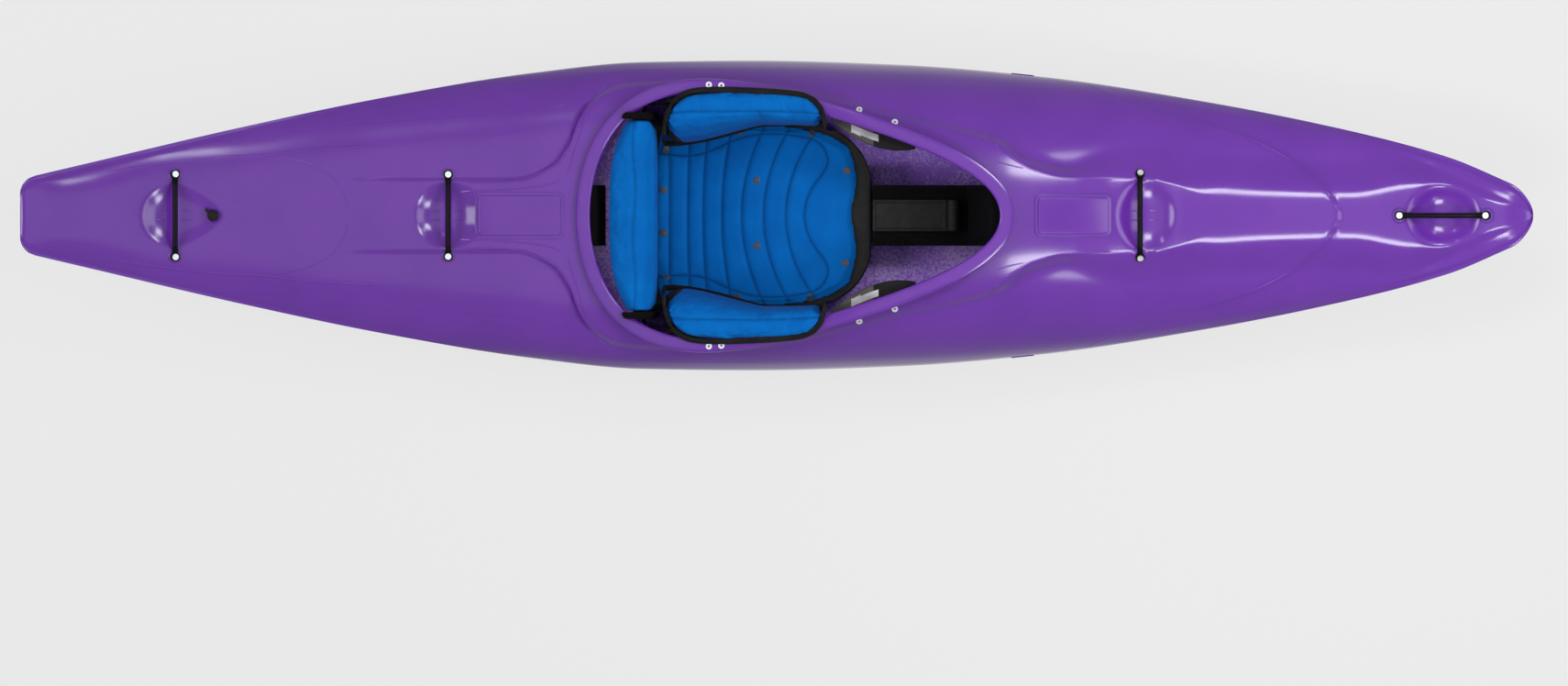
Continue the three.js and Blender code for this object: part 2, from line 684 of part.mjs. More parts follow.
function loopSolid(loop) {
  const ends = loopEnds(loop);
  const [first, last] = ends.map(({ frame }) => {
    return new THREE.Vector3(0, 0, eyeletBase + eyeletThickness / 2).applyMatrix4(frame);
  });
  const across = last.clone().sub(first);
  const middle = deckPoint(loop.x, 0);
  const along = (share) => first.clone().addScaledVector(across, share);
  const crest = middle.z + loop.rise - along(1 / 2).z;
  const route = loopRouteShares.map((share, i) => {
    const inner = i > 0 && i < loopRouteShares.length - 1;
    const rise = inner ? crest * Math.sin(Math.PI * share) ** loopPower : 0;
    return along(share).add(new THREE.Vector3(0, 0, rise));
  });
  const curve = new THREE.CatmullRomCurve3(route);
  const bar = new THREE.Shape();
  bar.absellipse(0, 0, loopBar / 2, (loopBar / 2) * loopThickShare, 0, Math.PI * 2);
  const options = { steps: 8, curveSegments: 3, extrudePath: curve, bevelEnabled: false };
  let solid = solidOf(new THREE.ExtrudeGeometry(bar, options));
  ends.forEach(({ frame }) => {
    solid = solid.add(placed(roundBar(eyeletDiameter, eyeletBase, eyeletTop, discSides), frame));
  });
  ends.forEach(({ frame }) => {
    const room = loopBar * 2;
    solid = solid.subtract(placed(roundBar(boltShank + holeGap * 2, -room, room), frame));
    const headRoom = roundBar(boltHead + holeGap * 2, eyeletTop, eyeletTop + room, discSides);
    solid = solid.subtract(placed(headRoom, frame));
    solid = solid.subtract(placed(roundBar(room * 2, eyeletBase - room, eyeletBase, discSides), frame));
  });
  return solid;
}

const dishes = [sternDish, rearDish, frontDish, bowDish];

// A clearance hole for a bolt's shank.
function shankHole(frame, from, to) {
  return placed(roundBar(boltShank + holeGap * 2, from, to), frame);
}

// A flat seat cut in the hull for a bolt's head or a loop's eyelet.
function spotFace(frame, diameter, from) {
  return placed(roundBar(diameter, from, from + wall * 2, discSides), frame);
}

const headSeat = boltHead + holeGap * 2;

const drainFrame = frameAt(deckPoint(drainX, 0), deckNormal(drainX, 0));

// Bolts through the lip of the coaming.
function rimBoltFrames() {
  return [-1, 1].flatMap((side) => [-1, 1].map((place) => {
    const x = rimBoltX + (place * rimBoltPitch) / 2;
    const slope = (rimHeight(x + wall) - rimHeight(x - wall)) / (2 * wall);
    const at = new THREE.Vector3(x, side * (openingHalfWidth(x) + rimBoltOffset), rimHeight(x));
    const name = `rim_bolt_${side < 0 ? 'right' : 'left'}_${place < 0 ? 'rear' : 'front'}`;
    return { name, frame: frameAt(at, new THREE.Vector3(-slope, 0, 1)) };
  }));
}

function braceBoltFrames(side) {
  return [-1, 1].map((place) => {
    const x = braceBoltX + (place * braceBoltPitch) / 2;
    const y = side * (openingHalfWidth(x) + lipWidth + braceBoltOffset / 4);
    const name = `brace_bolt_${side < 0 ? 'right' : 'left'}_${place < 0 ? 'rear' : 'front'}`;
    return { name, frame: frameAt(deckPoint(x, y), deckNormal(x, y)) };
  });
}

// Half width of the hull's side at a height between the chine and the gunwale.
function sideHalfWidth(section, z) {
  const chineZ = section.keel + section.chineRise;
  const w = THREE.MathUtils.clamp((z - chineZ) / (section.gunwale - chineZ), 0, 1);
  return section.chine + (section.halfBeam - section.chine) * (1 - (1 - w) ** sideCurvePower);
}

function footBoltFrame(side) {
  const y = sideHalfWidth(sectionAt(footBoltX), footBoltZ) - recessDepth;
  return frameAt(new THREE.Vector3(footBoltX, side * y, footBoltZ), new THREE.Vector3(0, side, 0));
}

function hullShell() {
  const outer = hullSkin(0);
  let hull = outer.subtract(hullSkin(wall)).subtract(openingCutter()).add(coaming());
  dishes.forEach((dish) => {
    hull = hull.add(dishSolid(dish, wall).intersect(outer));
  });
  [frontPad, rearPad].forEach((pad) => {
    hull = hull.add(deckPad(pad));
  });
  const ends = loops.flatMap(loopEnds);
  ends.forEach(({ frame }) => {
    hull = hull.add(bossSolid(frame));
  });
  dishes.forEach((dish) => {
    hull = hull.subtract(dishSolid(dish, 0));
  });
  ends.forEach(({ frame }) => {
    hull = hull.subtract(spotFace(frame, eyeletDiameter + bossMargin * 2, bossTop));
    hull = hull.subtract(shankHole(frame, -wall * 3, bossTop * 2));
  });
  const drainHole = roundBar(drainSleeve + holeGap * 2, -wall * 3, wall * 2, discSides);
  hull = hull.subtract(placed(drainHole, drainFrame));
  rimBoltFrames().forEach(({ frame }) => {
    hull = hull.subtract(spotFace(frame, headSeat, -spotDepth));
    hull = hull.subtract(shankHole(frame, -rimBoltLength, wall));
  });
  [-1, 1].forEach((side) => {
    braceBoltFrames(side).forEach(({ frame }) => {
      hull = hull.subtract(spotFace(frame, headSeat, -spotDepth));
      hull = hull.subtract(shankHole(frame, -wall * 3, wall));
    });
    const frame = footBoltFrame(side);
    const recess = platePrism(recessLength, recessHeight, padCorner, 0, wall * 2);
    hull = hull.subtract(placed(recess, frame)).subtract(shankHole(frame, -wall * 3, wall));
  });
  // The slivers that a cup and the deck above it leave between them are filled.
  const [shell] = hull.decompose().sort((a, b) => b.volume() - a.volume());
  return shell;
}

addPiece('hull_shell', hullShell(), colours.hull, 0.35);

loops.forEach((loop) => {
  addPiece(`${loop.name}_loop`, loopSolid(loop), colours.webbing, 0.7);
  loopEnds(loop).forEach(({ name, frame }) => {
    addBolt(`${loop.name}_loop_bolt_${name}`, shifted(frame, eyeletTop + seatGap), loopBoltLength);
  });
});
rimBoltFrames().forEach(({ name, frame }) => {
  addBolt(name, shifted(frame, seatGap - spotDepth), rimBoltLength);
});
[-1, 1].forEach((side) => {
  braceBoltFrames(side).forEach(({ name, frame }) => {
    addBolt(name, shifted(frame, seatGap - spotDepth), loopBoltLength);
  });
});

// Drain plug: a threaded seat in the deck, and a plug with its sealing ring that unscrews upwards.
function drainSeat() {
  const flange = ringGeometry(drainFlange, drainBore, 0, drainFlangeHeight, discSides);
  const sleeve = ringGeometry(drainSleeve, drainBore, -drainLength, drainFlangeHeight / 2, discSides);
  const lift = shifted(drainFrame, spotDepth + seatGap);
  return placed(flange, lift).add(placed(sleeve, lift));
}

function drainPlug() {
  const top = drainFlangeHeight + sealSection;
  const head = roundBar(plugHead, top, top + plugHeadHeight, discSides);
  const grip = new THREE.BoxGeometry(plugHead * plugGripShare, plugHead / 5, plugHeadHeight);
  grip.translate(0, 0, top + plugHeadHeight);
  const shank = roundBar(plugThread, top - plugLength, top + plugHeadHeight / 2, discSides);
  const lift = shifted(drainFrame, spotDepth + seatGap * 3);
  return placed(head, lift).add(placed(grip, lift)).add(placed(shank, lift));
}

addPiece('drain_seat', drainSeat(), colours.rubber, 0.5);
const sealRing = ringGeometry(
  plugHead - holeGap * 2, drainBore, drainFlangeHeight, drainFlangeHeight + sealSection, discSides,
);
addPiece('drain_seal', placed(sealRing, shifted(drainFrame, spotDepth + seatGap * 2)), colours.rubber, 0.9);
addPiece('drain_plug', drainPlug(), colours.rubber, 0.5);

// A side profile in X and Z, drawn out across the boat by a width.
function sideProfile(points, width) {
  const shape = new THREE.Shape(points.map(([x, z]) => new THREE.Vector2(x, z)));
  const prism = new THREE.ExtrudeGeometry(shape, { depth: width, bevelEnabled: false });
  return solidOf(prism.rotateX(Math.PI / 2).translate(0, width / 2, 0));
}

// What lies inside the hull, clear of its wall and of the dishes' cups.
function insideHull(solid, gap) {
  let inside = solid.intersect(hullSkin(wall + gap));
  dishes.forEach((dish) => {
    inside = inside.subtract(dishSolid(dish, wall + gap));
  });
  return inside;
}

const frontPillarProfile = [
  [frontPillarStart, 0], [frontPillarEnd, 0], [frontPillarEnd, height], [footNotchEnd, height],
  [footNotchEnd, footNotchHeight], [footNotchStart, footNotchHeight], [footNotchStart, height],
  [frontPillarRise, height], [frontPillarKnee, frontPillarLow], [frontPillarStart, frontPillarLow],
];
const rearPillarProfile = [
  [rearPillarStart, 0], [rearPillarEnd, 0], [rearPillarEnd, rearPillarLow], [rearPillarRise, height],
  [rearPillarStart, height],
];
const frontPillar = insideHull(sideProfile(frontPillarProfile, pillarWidth), seatGap);
addPiece('front_pillar', frontPillar, colours.foam, 0.9);
const rearPillar = insideHull(sideProfile(rearPillarProfile, pillarWidth), seatGap);
addPiece('rear_pillar', rearPillar, colours.foam, 0.9);

// Moulded console on the front pillar, rolled over at its front end.
function consoleTop() {
  const shape = new THREE.Shape();
  const [start, base] = [frontPillarStart, frontPillarLow + seatGap];
  const end = start + consoleLength;
  shape.moveTo(start, base);
  shape.lineTo(end, base);
  shape.absarc(end, base + consoleRoll, consoleRoll, -Math.PI / 2, Math.PI);
  shape.lineTo(end - consoleRoll, base + consoleThickness);
  shape.lineTo(start, base + consoleThickness);
  const options = { depth: consoleWidth, bevelEnabled: false, curveSegments: discSides };
  const prism = new THREE.ExtrudeGeometry(shape, options);
  return solidOf(prism.rotateX(Math.PI / 2).translate(0, consoleWidth / 2, 0));
}

addPiece('console', consoleTop(), colours.plastic, 0.6);

// Half width of the seat at a share from its rear to its front, drawn in to the nose.
function seatOutline(u) {
  return seatNose + (seatHalfWidth - seatNose) * Math.sqrt(1 - u ** 6);
}

// Top face of the seat pan.
function seatTop(x, y) {
  const u = THREE.MathUtils.clamp((x - seatRear) / (seatFront - seatRear), 0, 1);
  const middle = seatRearHeight + (seatFrontHeight - seatRearHeight) * u ** seatSlopePower;
  return middle + seatSideRise * (1 - u / 2) * Math.abs(y / seatHalfWidth) ** seatSidePower;
}

// A closed slab over a grid: pointsAt(u) gives the front and the back row of points at a share.
function slabSolid(steps, pointsAt) {
  const rings = Array.from({ length: steps + 1 }, (_, i) => {
    const { front, back } = pointsAt(i / steps);
    return [...front, ...back.reverse()];
  });
  return loftSolid(rings);
}

const acrossShares = [-1, -0.94, -0.82, -0.6, -0.3, 0, 0.3, 0.6, 0.82, 0.94, 1];

function seatPan() {
  let pan = slabSolid(12, (t) => {
    const u = Math.sin((t * Math.PI) / 2);
    const x = seatRear + (seatFront - seatRear) * u;
    const row = (drop) => acrossShares.map((v) => {
      const y = v * seatOutline(u);
      return new THREE.Vector3(x, y, seatTop(x, y) - drop);
    });
    return { front: row(0), back: row(seatThickness) };
  });
  [-1, 1].forEach((side) => {
    pan = pan.add(insideHull(seatWing(side), seatGap));
  });
  rimBoltFrames().forEach(({ frame }) => {
    pan = pan.subtract(shankHole(frame, -rimBoltLength - wall, wall));
  });
  [-1, 1].forEach((side) => {
    const pin = frameAt(new THREE.Vector3(pivotX, 0, pivotZ), new THREE.Vector3(0, side, 0));
    pan = pan.subtract(placed(roundBar(pivotPin + holeGap * 2, wingY - wall * 2, wingY + wall * 4), pin));
  });
  return pan;
}

// A hip wing of the seat: up from the pan's side, then out under the deck as a bolting flange.
function seatWing(side) {
  return slabSolid(4, (u) => {
    const x = wingRear + (wingFront - wingRear) * u;
    const ceiling = (y) => deckHeight(sectionAt(x), y) - wall;
    const root = seatHalfWidth - seatThickness;
    const outer = Math.min(wingY, openingHalfWidth(x) - wingThickness * 2);
    const tip = outer + flangeReach;
    const front = [
      [root, seatTop(x, root) - seatThickness], [outer, wingHalfHeight], [outer, ceiling(outer) + wall],
      [tip, ceiling(tip) + wall],
    ];
    const back = [
      [root + wingThickness, seatTop(x, root) - seatThickness * 2],
      [outer + wingThickness, wingHalfHeight],
      [outer + wingThickness, ceiling(outer) - wall - wingThickness * 2],
      [tip, ceiling(tip) - wall - wingThickness * 3],
    ];
    const lift = (points) => points.map(([y, z]) => new THREE.Vector3(x, side * y, z));
    return { front: lift(front), back: lift(back) };
  });
}

addPiece('seat_pan', seatPan(), colours.plastic, 0.6);

// Quilted seat cover with channels sewn across it.
function seatCover() {
  return slabSolid(coverChannels * 3, (u) => {
    const x = coverRear + (coverFront - coverRear) * u;
    const pan = (x - seatRear) / (seatFront - seatRear);
    const half = Math.min(seatOutline(pan), seatHalfWidth) - coverMargin;
    const channel = channelDepth * (1 - Math.abs(Math.sin(Math.PI * coverChannels * u)));
    const row = (pad) => acrossShares.map((v) => {
      const y = v * half;
      const end = Math.min(1, Math.sqrt(coverEndShare + coverEndSlope * u * (1 - u)));
      const edge = Math.sqrt(1 - coverEdgeShare * Math.abs(v) ** 6) * end;
      const lift = runGap + (pad ? (coverThickness - channel) * edge : 0);
      return new THREE.Vector3(x, y, seatTop(x, y) + lift);
    });
    return { front: row(true), back: row(false) };
  });
}

addPiece('seat_cover', seatCover(), colours.cloth, 0.9);

// A hip pad: crowned inwards over the seat, then folded out over the rim.
function hipPad(side) {
  return slabSolid(12, (u) => {
    const x = hipPadRear + (hipPadFront - hipPadRear) * u;
    const end = Math.sqrt(Math.max(hipPadEndShare, 1 - Math.abs(2 * u - 1) ** 5));
    const wingSide = Math.min(wingY, openingHalfWidth(x) - wingThickness * 2) - hipPadBack;
    const wallSide = openingHalfWidth(x) - runGap * 2;
    const shelf = deckHeight(sectionAt(x), wallSide) + runGap * 2;
    const bottom = seatTop(x, hipPadInner) + coverThickness + seatSideRise / 2;
    const [ahead, atEnds] = hipPadTaperShares;
    const inner = hipPadInner + (wingSide - hipPadInner) * (ahead * u ** 2 + atEnds * (1 - end));
    const rim = rimHeight(x);
    const crown = rim + hipPadRise * end;
    const reach = wallSide + hipPadOverlap * end;
    const fold = hipPadFoldShares.map((share) => inner + (wingSide - inner) * share);
    const front = [
      [(inner + seatHalfWidth) / 2, bottom - wall], [inner + wall, bottom + wall],
      [inner, (bottom + rim) * hipPadBellyShare],
      [fold[0], rim - lipDepth * 2], [fold[1], rim], [fold[2], crown - wall / 2], [wallSide, crown],
      [reach - wall, crown - wall], [reach, rim + wall * 1.6],
    ];
    const back = [
      [seatHalfWidth - wall * 2, bottom], [seatHalfWidth, bottom + wall * 2], [wingSide, (bottom + rim) / 2],
      [wingSide, shelf - wall], [wingSide, shelf], [wallSide - wall, shelf + runGap],
      [wallSide, shelf + wall], [wallSide, rim + runGap], [reach - wall / 2, rim + runGap],
    ];
    const lift = (points) => points.map(([y, z]) => new THREE.Vector3(x, side * y, z));
    return { front: lift(front), back: lift(back) };
  });
}

[-1, 1].forEach((side) => {
  addPiece(`hip_pad_${side < 0 ? 'right' : 'left'}`, hipPad(side), colours.cloth, 0.9);
});

// Backband: a crowned pad that bends round the paddler's back.
function bandRow(u, shares, inset) {
  const bend = Math.abs(u) ** bandBendPower;
  const front = bandFrontX - bend * wall * 2;
  const rear = bandRearX + bend * (bandFrontX - bandRearX) * bandThinShare;
  const top = bandTop - bend * lipDepth / 2;
  return shares.map(([depth, rise]) => {
    const x = front + (rear - front) * depth + inset;
    return new THREE.Vector3(x, u * bandHalfWidth, bandBottom + (top - bandBottom) * rise);
  });
}

function bandPad() {
  return slabSolid(14, (t) => {
    const u = Math.sin((t - 1 / 2) * Math.PI);
    return { front: bandRow(u, bandFrontShares, 0), back: bandRow(u, bandRearShares, 0) };
  });
}

addPiece('backband_pad', bandPad(), colours.cloth, 0.9);

// Moulded plate behind the pad, with an arm each side that pivots on the seat's wing.
const armInside = wingY - wingThickness / 2 - bandArmGap - bandPlate;

function bandPlateSolid() {
  const band = (steps, across, shares) => slabSolid(steps, (t) => {
    const u = across(t);
    const back = bandRow(u, shares, -runGap * 2 - bandPlate);
    return { front: bandRow(u, shares, -runGap * 2), back };
  });
  const armReach = (armInside + bandPlate) / bandHalfWidth;
  const root = bandArmRootShare;
  const bend = (t) => Math.sin((t - 1 / 2) * Math.PI);
  const reach = bandPlateReachShare;
  let plate = band(14, (t) => THREE.MathUtils.clamp(bend(t), -reach, reach), bandPlateShares);
  [-1, 1].forEach((side) => {
    plate = plate.add(band(3, (t) => side * (root + (armReach - root) * t), bandArmShares));
    const arm = new THREE.Shape();
    const half = bandArmWidth / 2;
    const rear = bandRow(armReach, bandArmShares, -runGap * 2 - bandPlate)[0].x;
    arm.absarc(pivotX, pivotZ, half, -Math.PI / 2, Math.PI / 2);
    arm.lineTo(rear, pivotZ + half);
    arm.lineTo(rear, pivotZ - half);
    const options = { depth: bandPlate, bevelEnabled: false, curveSegments: roundSides };
    const strap = solidOf(new THREE.ExtrudeGeometry(arm, options).rotateX(Math.PI / 2));
    plate = plate.add(strap.translate([0, side > 0 ? armInside + bandPlate : -armInside, 0]));
    const pin = frameAt(new THREE.Vector3(pivotX, 0, pivotZ), new THREE.Vector3(0, side, 0));
    plate = plate.subtract(placed(roundBar(pivotPin + holeGap * 2, armInside - wall, wingY), pin));
  });
  return plate;
}

addPiece('backband_plate', bandPlateSolid(), colours.plastic, 0.6);
[-1, 1].forEach((side) => {
  const at = new THREE.Vector3(pivotX, side * (armInside - seatGap), pivotZ);
  const frame = frameAt(at, new THREE.Vector3(0, -side, 0));
  addBolt(`backband_pivot_${side < 0 ? 'right' : 'left'}`, frame, bandPlate + wingThickness * 2 + wall);
});

// Thigh braces: plates under the deck with slots for their bolts, each with a padded edge.
function braceSlab(side, drop, thickness, bulge) {
  return slabSolid(6, (u) => {
    const x = braceRear + (braceFront - braceRear) * u;
    const inner = openingHalfWidth(x) - bulge * Math.sin(Math.PI * u) ** braceBulgePower;
    const outer = openingHalfWidth(x) + braceReach;
    const row = (below) => [0, 1 / 2, 1].map((share) => {
      const y = side * (inner + (outer - inner) * share);
      return deckPoint(x, y).addScaledVector(deckNormal(x, y), -wall - below);
    });
    return { front: row(drop), back: row(drop + thickness) };
  });
}

function braceSlot(frame) {
  const slot = boltShank + holeGap * 2;
  const prism = platePrism(slot + braceTravel * 2, slot, slot / 2 - holeGap / 4, wall * 5, 0);
  return placed(prism, frame);
}

[-1, 1].forEach((side) => {
  const name = side < 0 ? 'right' : 'left';
  const drop = wall + runGap;
  let brace = insideHull(braceSlab(side, drop, braceThickness, braceBulge), runGap * 2);
  const padDrop = drop + braceThickness + seatGap;
  let pad = braceSlab(side, padDrop, bracePadThickness, braceBulge);
  braceBoltFrames(side).forEach(({ frame }) => {
    brace = brace.subtract(braceSlot(frame));
    pad = pad.subtract(braceSlot(frame));
  });
  addPiece(`thigh_brace_${name}`, brace, colours.brace, 0.8);
  addPiece(`thigh_pad_${name}`, pad, colours.brace, 0.9);
});

// Foot brace: a plate that bridges the notched pillar, its pad, and a slotted rail each side.
function footPrism(margin, from, thickness) {
  const tall = footTopHeight - footBottomHeight;
  const right = footOutlineShares.map(([across, up]) => {
    const y = across * footHalfWidth - margin;
    const z = footBottomHeight + up * tall + margin * (1 - 2 * up);
    return [y, z];
  });
  const left = right.map(([y, z]) => [-y, z]).reverse();
  const slot = pillarWidth / 2 + footSlotGap + margin;
  const bridge = footSlotHeight + (margin > 0 ? seatGap : 0);
  const leg = [
    [-slot, footBottomHeight + margin], [-slot, bridge], [slot, bridge], [slot, footBottomHeight + margin],
  ];
  const outline = [...right, ...left, ...leg].map(([y, z]) => new THREE.Vector2(y, z));
  const options = { depth: thickness, bevelEnabled: false };
  const prism = new THREE.ExtrudeGeometry(new THREE.Shape(outline), options);
  const basis = new THREE.Matrix4().makeBasis(
    new THREE.Vector3(0, 1, 0), new THREE.Vector3(0, 0, 1), new THREE.Vector3(1, 0, 0),
  );
  return placed(prism, basis.setPosition(from, 0, 0));
}

addPiece('foot_plate', footPrism(0, footPlateX, footPlateThickness), colours.plastic, 0.6);
const footPadX = footPlateX - seatGap - footPadThickness;
addPiece('foot_pad', footPrism(footPadMargin, footPadX, footPadThickness), colours.foam, 0.9);

const railRear = footBoltX - footForward - footSlotMargin;
const railLength = footPlateX - seatGap - railRear;
[-1, 1].forEach((side) => {
  const name = side < 0 ? 'right' : 'left';
  const rail = new THREE.BoxGeometry(railLength, footRailThickness, footRailHeight);
  const railY = side * (footRailY + footRailThickness / 2);
  let solid = solidOf(rail.translate(railRear + railLength / 2, railY, footBoltZ));
  const frame = frameAt(new THREE.Vector3(footBoltX, 0, footBoltZ), new THREE.Vector3(0, side, 0));
  const slot = boltShank + holeGap * 2;
  const middle = (footBack - footForward) / 2;
  const prism = platePrism(footForward + footBack + slot, slot, slot / 2 - holeGap / 4, 0, footRailY * 2);
  solid = solid.subtract(placed(prism.translate(middle, 0, 0), frame));
  addPiece(`foot_rail_${name}`, solid, colours.aluminium, 0.4, 1);

  const head = footBoltFrame(side);
  const reach = new THREE.Vector3().setFromMatrixPosition(head).y * side;
  const inboard = footRailY - wall * 2;
  addBolt(`foot_bolt_${name}`, shifted(head, seatGap), reach - inboard);
  const sleeveIn = footRailY + footRailThickness + seatGap;
  const sleeveOut = reach - wall * 1.8;
  const sleeve = ringGeometry(footSleeve, boltShank + holeGap * 2, sleeveIn, sleeveOut, discSides);
  addPiece(`foot_sleeve_${name}`, insideHull(placed(sleeve, frame), seatGap), colours.plastic, 0.6);
});

export default group;
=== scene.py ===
import json
import math
import bpy
import numpy as np
from mathutils import Matrix, Vector


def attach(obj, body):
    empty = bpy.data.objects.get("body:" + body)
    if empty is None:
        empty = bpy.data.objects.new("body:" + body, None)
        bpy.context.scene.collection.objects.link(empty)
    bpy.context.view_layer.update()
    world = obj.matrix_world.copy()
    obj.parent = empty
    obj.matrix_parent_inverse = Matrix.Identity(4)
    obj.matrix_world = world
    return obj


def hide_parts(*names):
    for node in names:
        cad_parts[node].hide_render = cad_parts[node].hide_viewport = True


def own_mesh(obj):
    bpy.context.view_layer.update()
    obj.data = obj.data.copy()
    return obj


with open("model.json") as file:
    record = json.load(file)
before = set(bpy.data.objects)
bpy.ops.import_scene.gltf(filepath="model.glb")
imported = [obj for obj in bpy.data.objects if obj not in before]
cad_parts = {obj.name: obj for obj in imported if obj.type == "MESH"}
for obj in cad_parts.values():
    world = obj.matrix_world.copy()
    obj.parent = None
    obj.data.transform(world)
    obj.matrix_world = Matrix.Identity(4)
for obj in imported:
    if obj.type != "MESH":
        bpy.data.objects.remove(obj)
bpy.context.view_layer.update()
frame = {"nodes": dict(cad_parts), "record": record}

nodes = frame["nodes"]
mm = 0.001  # the dictionaries below are in millimetres


def deselectAll():
    bpy.ops.object.select_all(action="DESELECT")


def makeActive(piece):
    deselectAll()
    piece.select_set(True)
    bpy.context.view_layer.objects.active = piece


def newPrimitive(operator, **settings):
    deselectAll()
    operator(**settings)
    return bpy.context.active_object


def inEditMode(piece, work):
    makeActive(piece)
    bpy.ops.object.mode_set(mode="EDIT")
    bpy.ops.mesh.select_all(action="SELECT")
    work()
    bpy.ops.object.mode_set(mode="OBJECT")


def modify(piece, kind, **settings):
    # adds a modifier with its settings and applies it
    makeActive(piece)
    bpy.ops.object.modifier_add(type=kind)
    modifier = piece.modifiers[-1]
    for name, value in settings.items():
        setattr(modifier, name, value)
    bpy.ops.object.modifier_apply(modifier=modifier.name)


def roundEdges(piece, width, segments=3, **settings):
    modify(piece, "BEVEL", width=width * mm, segments=segments, limit_method="ANGLE", **settings)


def smoothBy(piece, degrees):
    makeActive(piece)
    bpy.ops.object.shade_smooth_by_angle(angle=math.radians(degrees))


def joinAll(pieces, name):
    deselectAll()
    for piece in pieces:
        piece.select_set(True)
    bpy.context.view_layer.objects.active = pieces[0]
    if len(pieces) > 1:
        bpy.ops.object.join()
    pieces[0].name = name
    return pieces[0]


def finishPiece(piece, name, material, body, node, slot, angle=40):
    # names a finished piece, gives it its material and smooth faces, and says where it belongs
    piece.name = name
    piece.data.materials.clear()
    piece.data.materials.append(material)
    smoothBy(piece, angle)
    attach(piece, body)
    if node:
        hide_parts(node)
    return piece


print("stage: camera, light and floor")
view = {
    "pixelsWide": 1710, "pixelsHigh": 748, "perPixel": 1.909, "centreX": 847, "centreY": 235, "height": 4.0,
}
studio = {
    "worldLevel": 0.2, "backdrop": "#e8e8e8", "floor": "#b4b4b4", "floorGlow": 0.8, "glow": "#f6f6f6",
    "floorSize": 60, "aim": 0.2,
    # each small lamp: middle along X, place across, length, width, power
    "strips": [
        (1.2, 0.95, 0.75, 0.42, 20), (1.2, -0.95, 0.75, 0.42, 20), (1.75, 1.4, 0.35, 0.3, 3),
        (1.75, -1.4, 0.35, 0.3, 3), (-0.5, 1.34, 0.2, 0.14, 2),
    ],
    "stripHeight": 2.6,
    "ends": [(-3.3, 66), (3.3, 34)], "endHeight": 3.0, "endSize": 1.8,
    "topSize": 3.0, "topHeight": 4.5, "topPower": 20,
}


def linear(text):
    # sRGB hex to the linear colour that the nodes take
    values = [int(text[i:i + 2], 16) / 255 for i in (1, 3, 5)]
    return [v / 12.92 if v <= 0.04045 else ((v + 0.055) / 1.055) ** 2.4 for v in values] + [1.0]


def addNode(tree, kind, settings, links=()):
    # one node: settings name its properties or sockets, links pair a socket with an output
    node = tree.nodes.new(kind)
    for name, value in settings.items():
        if isinstance(name, str) and hasattr(node, name):
            setattr(node, name, value)
        else:
            node.inputs[name].default_value = value
    for name, output in links:
        tree.links.new(output, node.inputs[name])
    return node


def makeCamera():
    data = bpy.data.cameras.new("cameraAbove")
    data.type = "ORTHO"
    data.ortho_scale = view["pixelsWide"] * view["perPixel"] * mm
    camera = bpy.data.objects.new("cameraAbove", data)
    bpy.context.scene.collection.objects.link(camera)
    pixel = view["perPixel"] * mm
    acrossPixels = view["pixelsWide"] / 2 - view["centreX"]
    downPixels = view["centreY"] - view["pixelsHigh"] / 2
    camera.location = (acrossPixels * pixel, downPixels * pixel, view["height"])
    bpy.context.scene.camera = camera


def straightRays(tree):
    # one where the camera looks, a gloss reflects or glass lets through, and nothing elsewhere
    path = addNode(tree, "ShaderNodeLightPath", {})
    seen = path.outputs["Is Camera Ray"]
    for ray in ("Is Glossy Ray", "Is Transmission Ray"):
        links = [(0, seen), (1, path.outputs[ray])]
        seen = addNode(tree, "ShaderNodeMath", {"operation": "MAXIMUM"}, links).outputs[0]
    return seen


def makeWorld():
    world = bpy.data.worlds.new("studioRoom")
    bpy.context.scene.world = world
    world.use_nodes = True
    tree = world.node_tree
    tree.nodes.clear()
    room = addNode(tree, "ShaderNodeBackground", {"Color": (1, 1, 1, 1), "Strength": studio["worldLevel"]})
    pale = addNode(tree, "ShaderNodeBackground", {"Color": linear(studio["backdrop"]), "Strength": 1.0})
    mixed = addNode(tree, "ShaderNodeMixShader", {}, [
        (0, straightRays(tree)), (1, room.outputs[0]), (2, pale.outputs[0]),
    ])
    addNode(tree, "ShaderNodeOutputWorld", {}, [("Surface", mixed.outputs[0])])


def makeFloor():
    # to the camera the floor is mostly its own pale colour, and the rest of it takes the shadow
    floor = newPrimitive(bpy.ops.mesh.primitive_plane_add, size=studio["floorSize"])
    floor.name = "studioFloor"
    paint = bpy.data.materials.new("palePaintedFloor")
    paint.use_nodes = True
    tree = paint.node_tree
    shader = tree.nodes["Principled BSDF"]
    shader.inputs["Base Color"].default_value = linear(studio["floor"])
    shader.inputs["Roughness"].default_value = 0.9
    shader.inputs["Specular IOR Level"].default_value = 0.1
    share = addNode(tree, "ShaderNodeMath", {"operation": "MULTIPLY", 1: studio["floorGlow"]}, [
        (0, straightRays(tree)),
    ])
    glow = addNode(tree, "ShaderNodeEmission", {"Color": linear(studio["glow"])})
    mixed = addNode(tree, "ShaderNodeMixShader", {}, [
        (0, share.outputs[0]), (1, shader.outputs[0]), (2, glow.outputs[0]),
    ])
    tree.links.new(mixed.outputs[0], tree.nodes["Material Output"].inputs["Surface"])
    floor.data.materials.append(paint)


def areaLamp(name, place, target, sizeX, sizeY, power):
    data = bpy.data.lights.new(name, "AREA")
    data.shape = "RECTANGLE"
    data.size, data.size_y, data.energy = sizeX, sizeY, power
    lamp = bpy.data.objects.new(name, data)
    bpy.context.scene.collection.objects.link(lamp)
    lamp.location = place
    lamp.rotation_mode = "QUATERNION"
    lamp.rotation_quaternion = (Vector(target) - Vector(place)).to_track_quat("-Z", "Y")


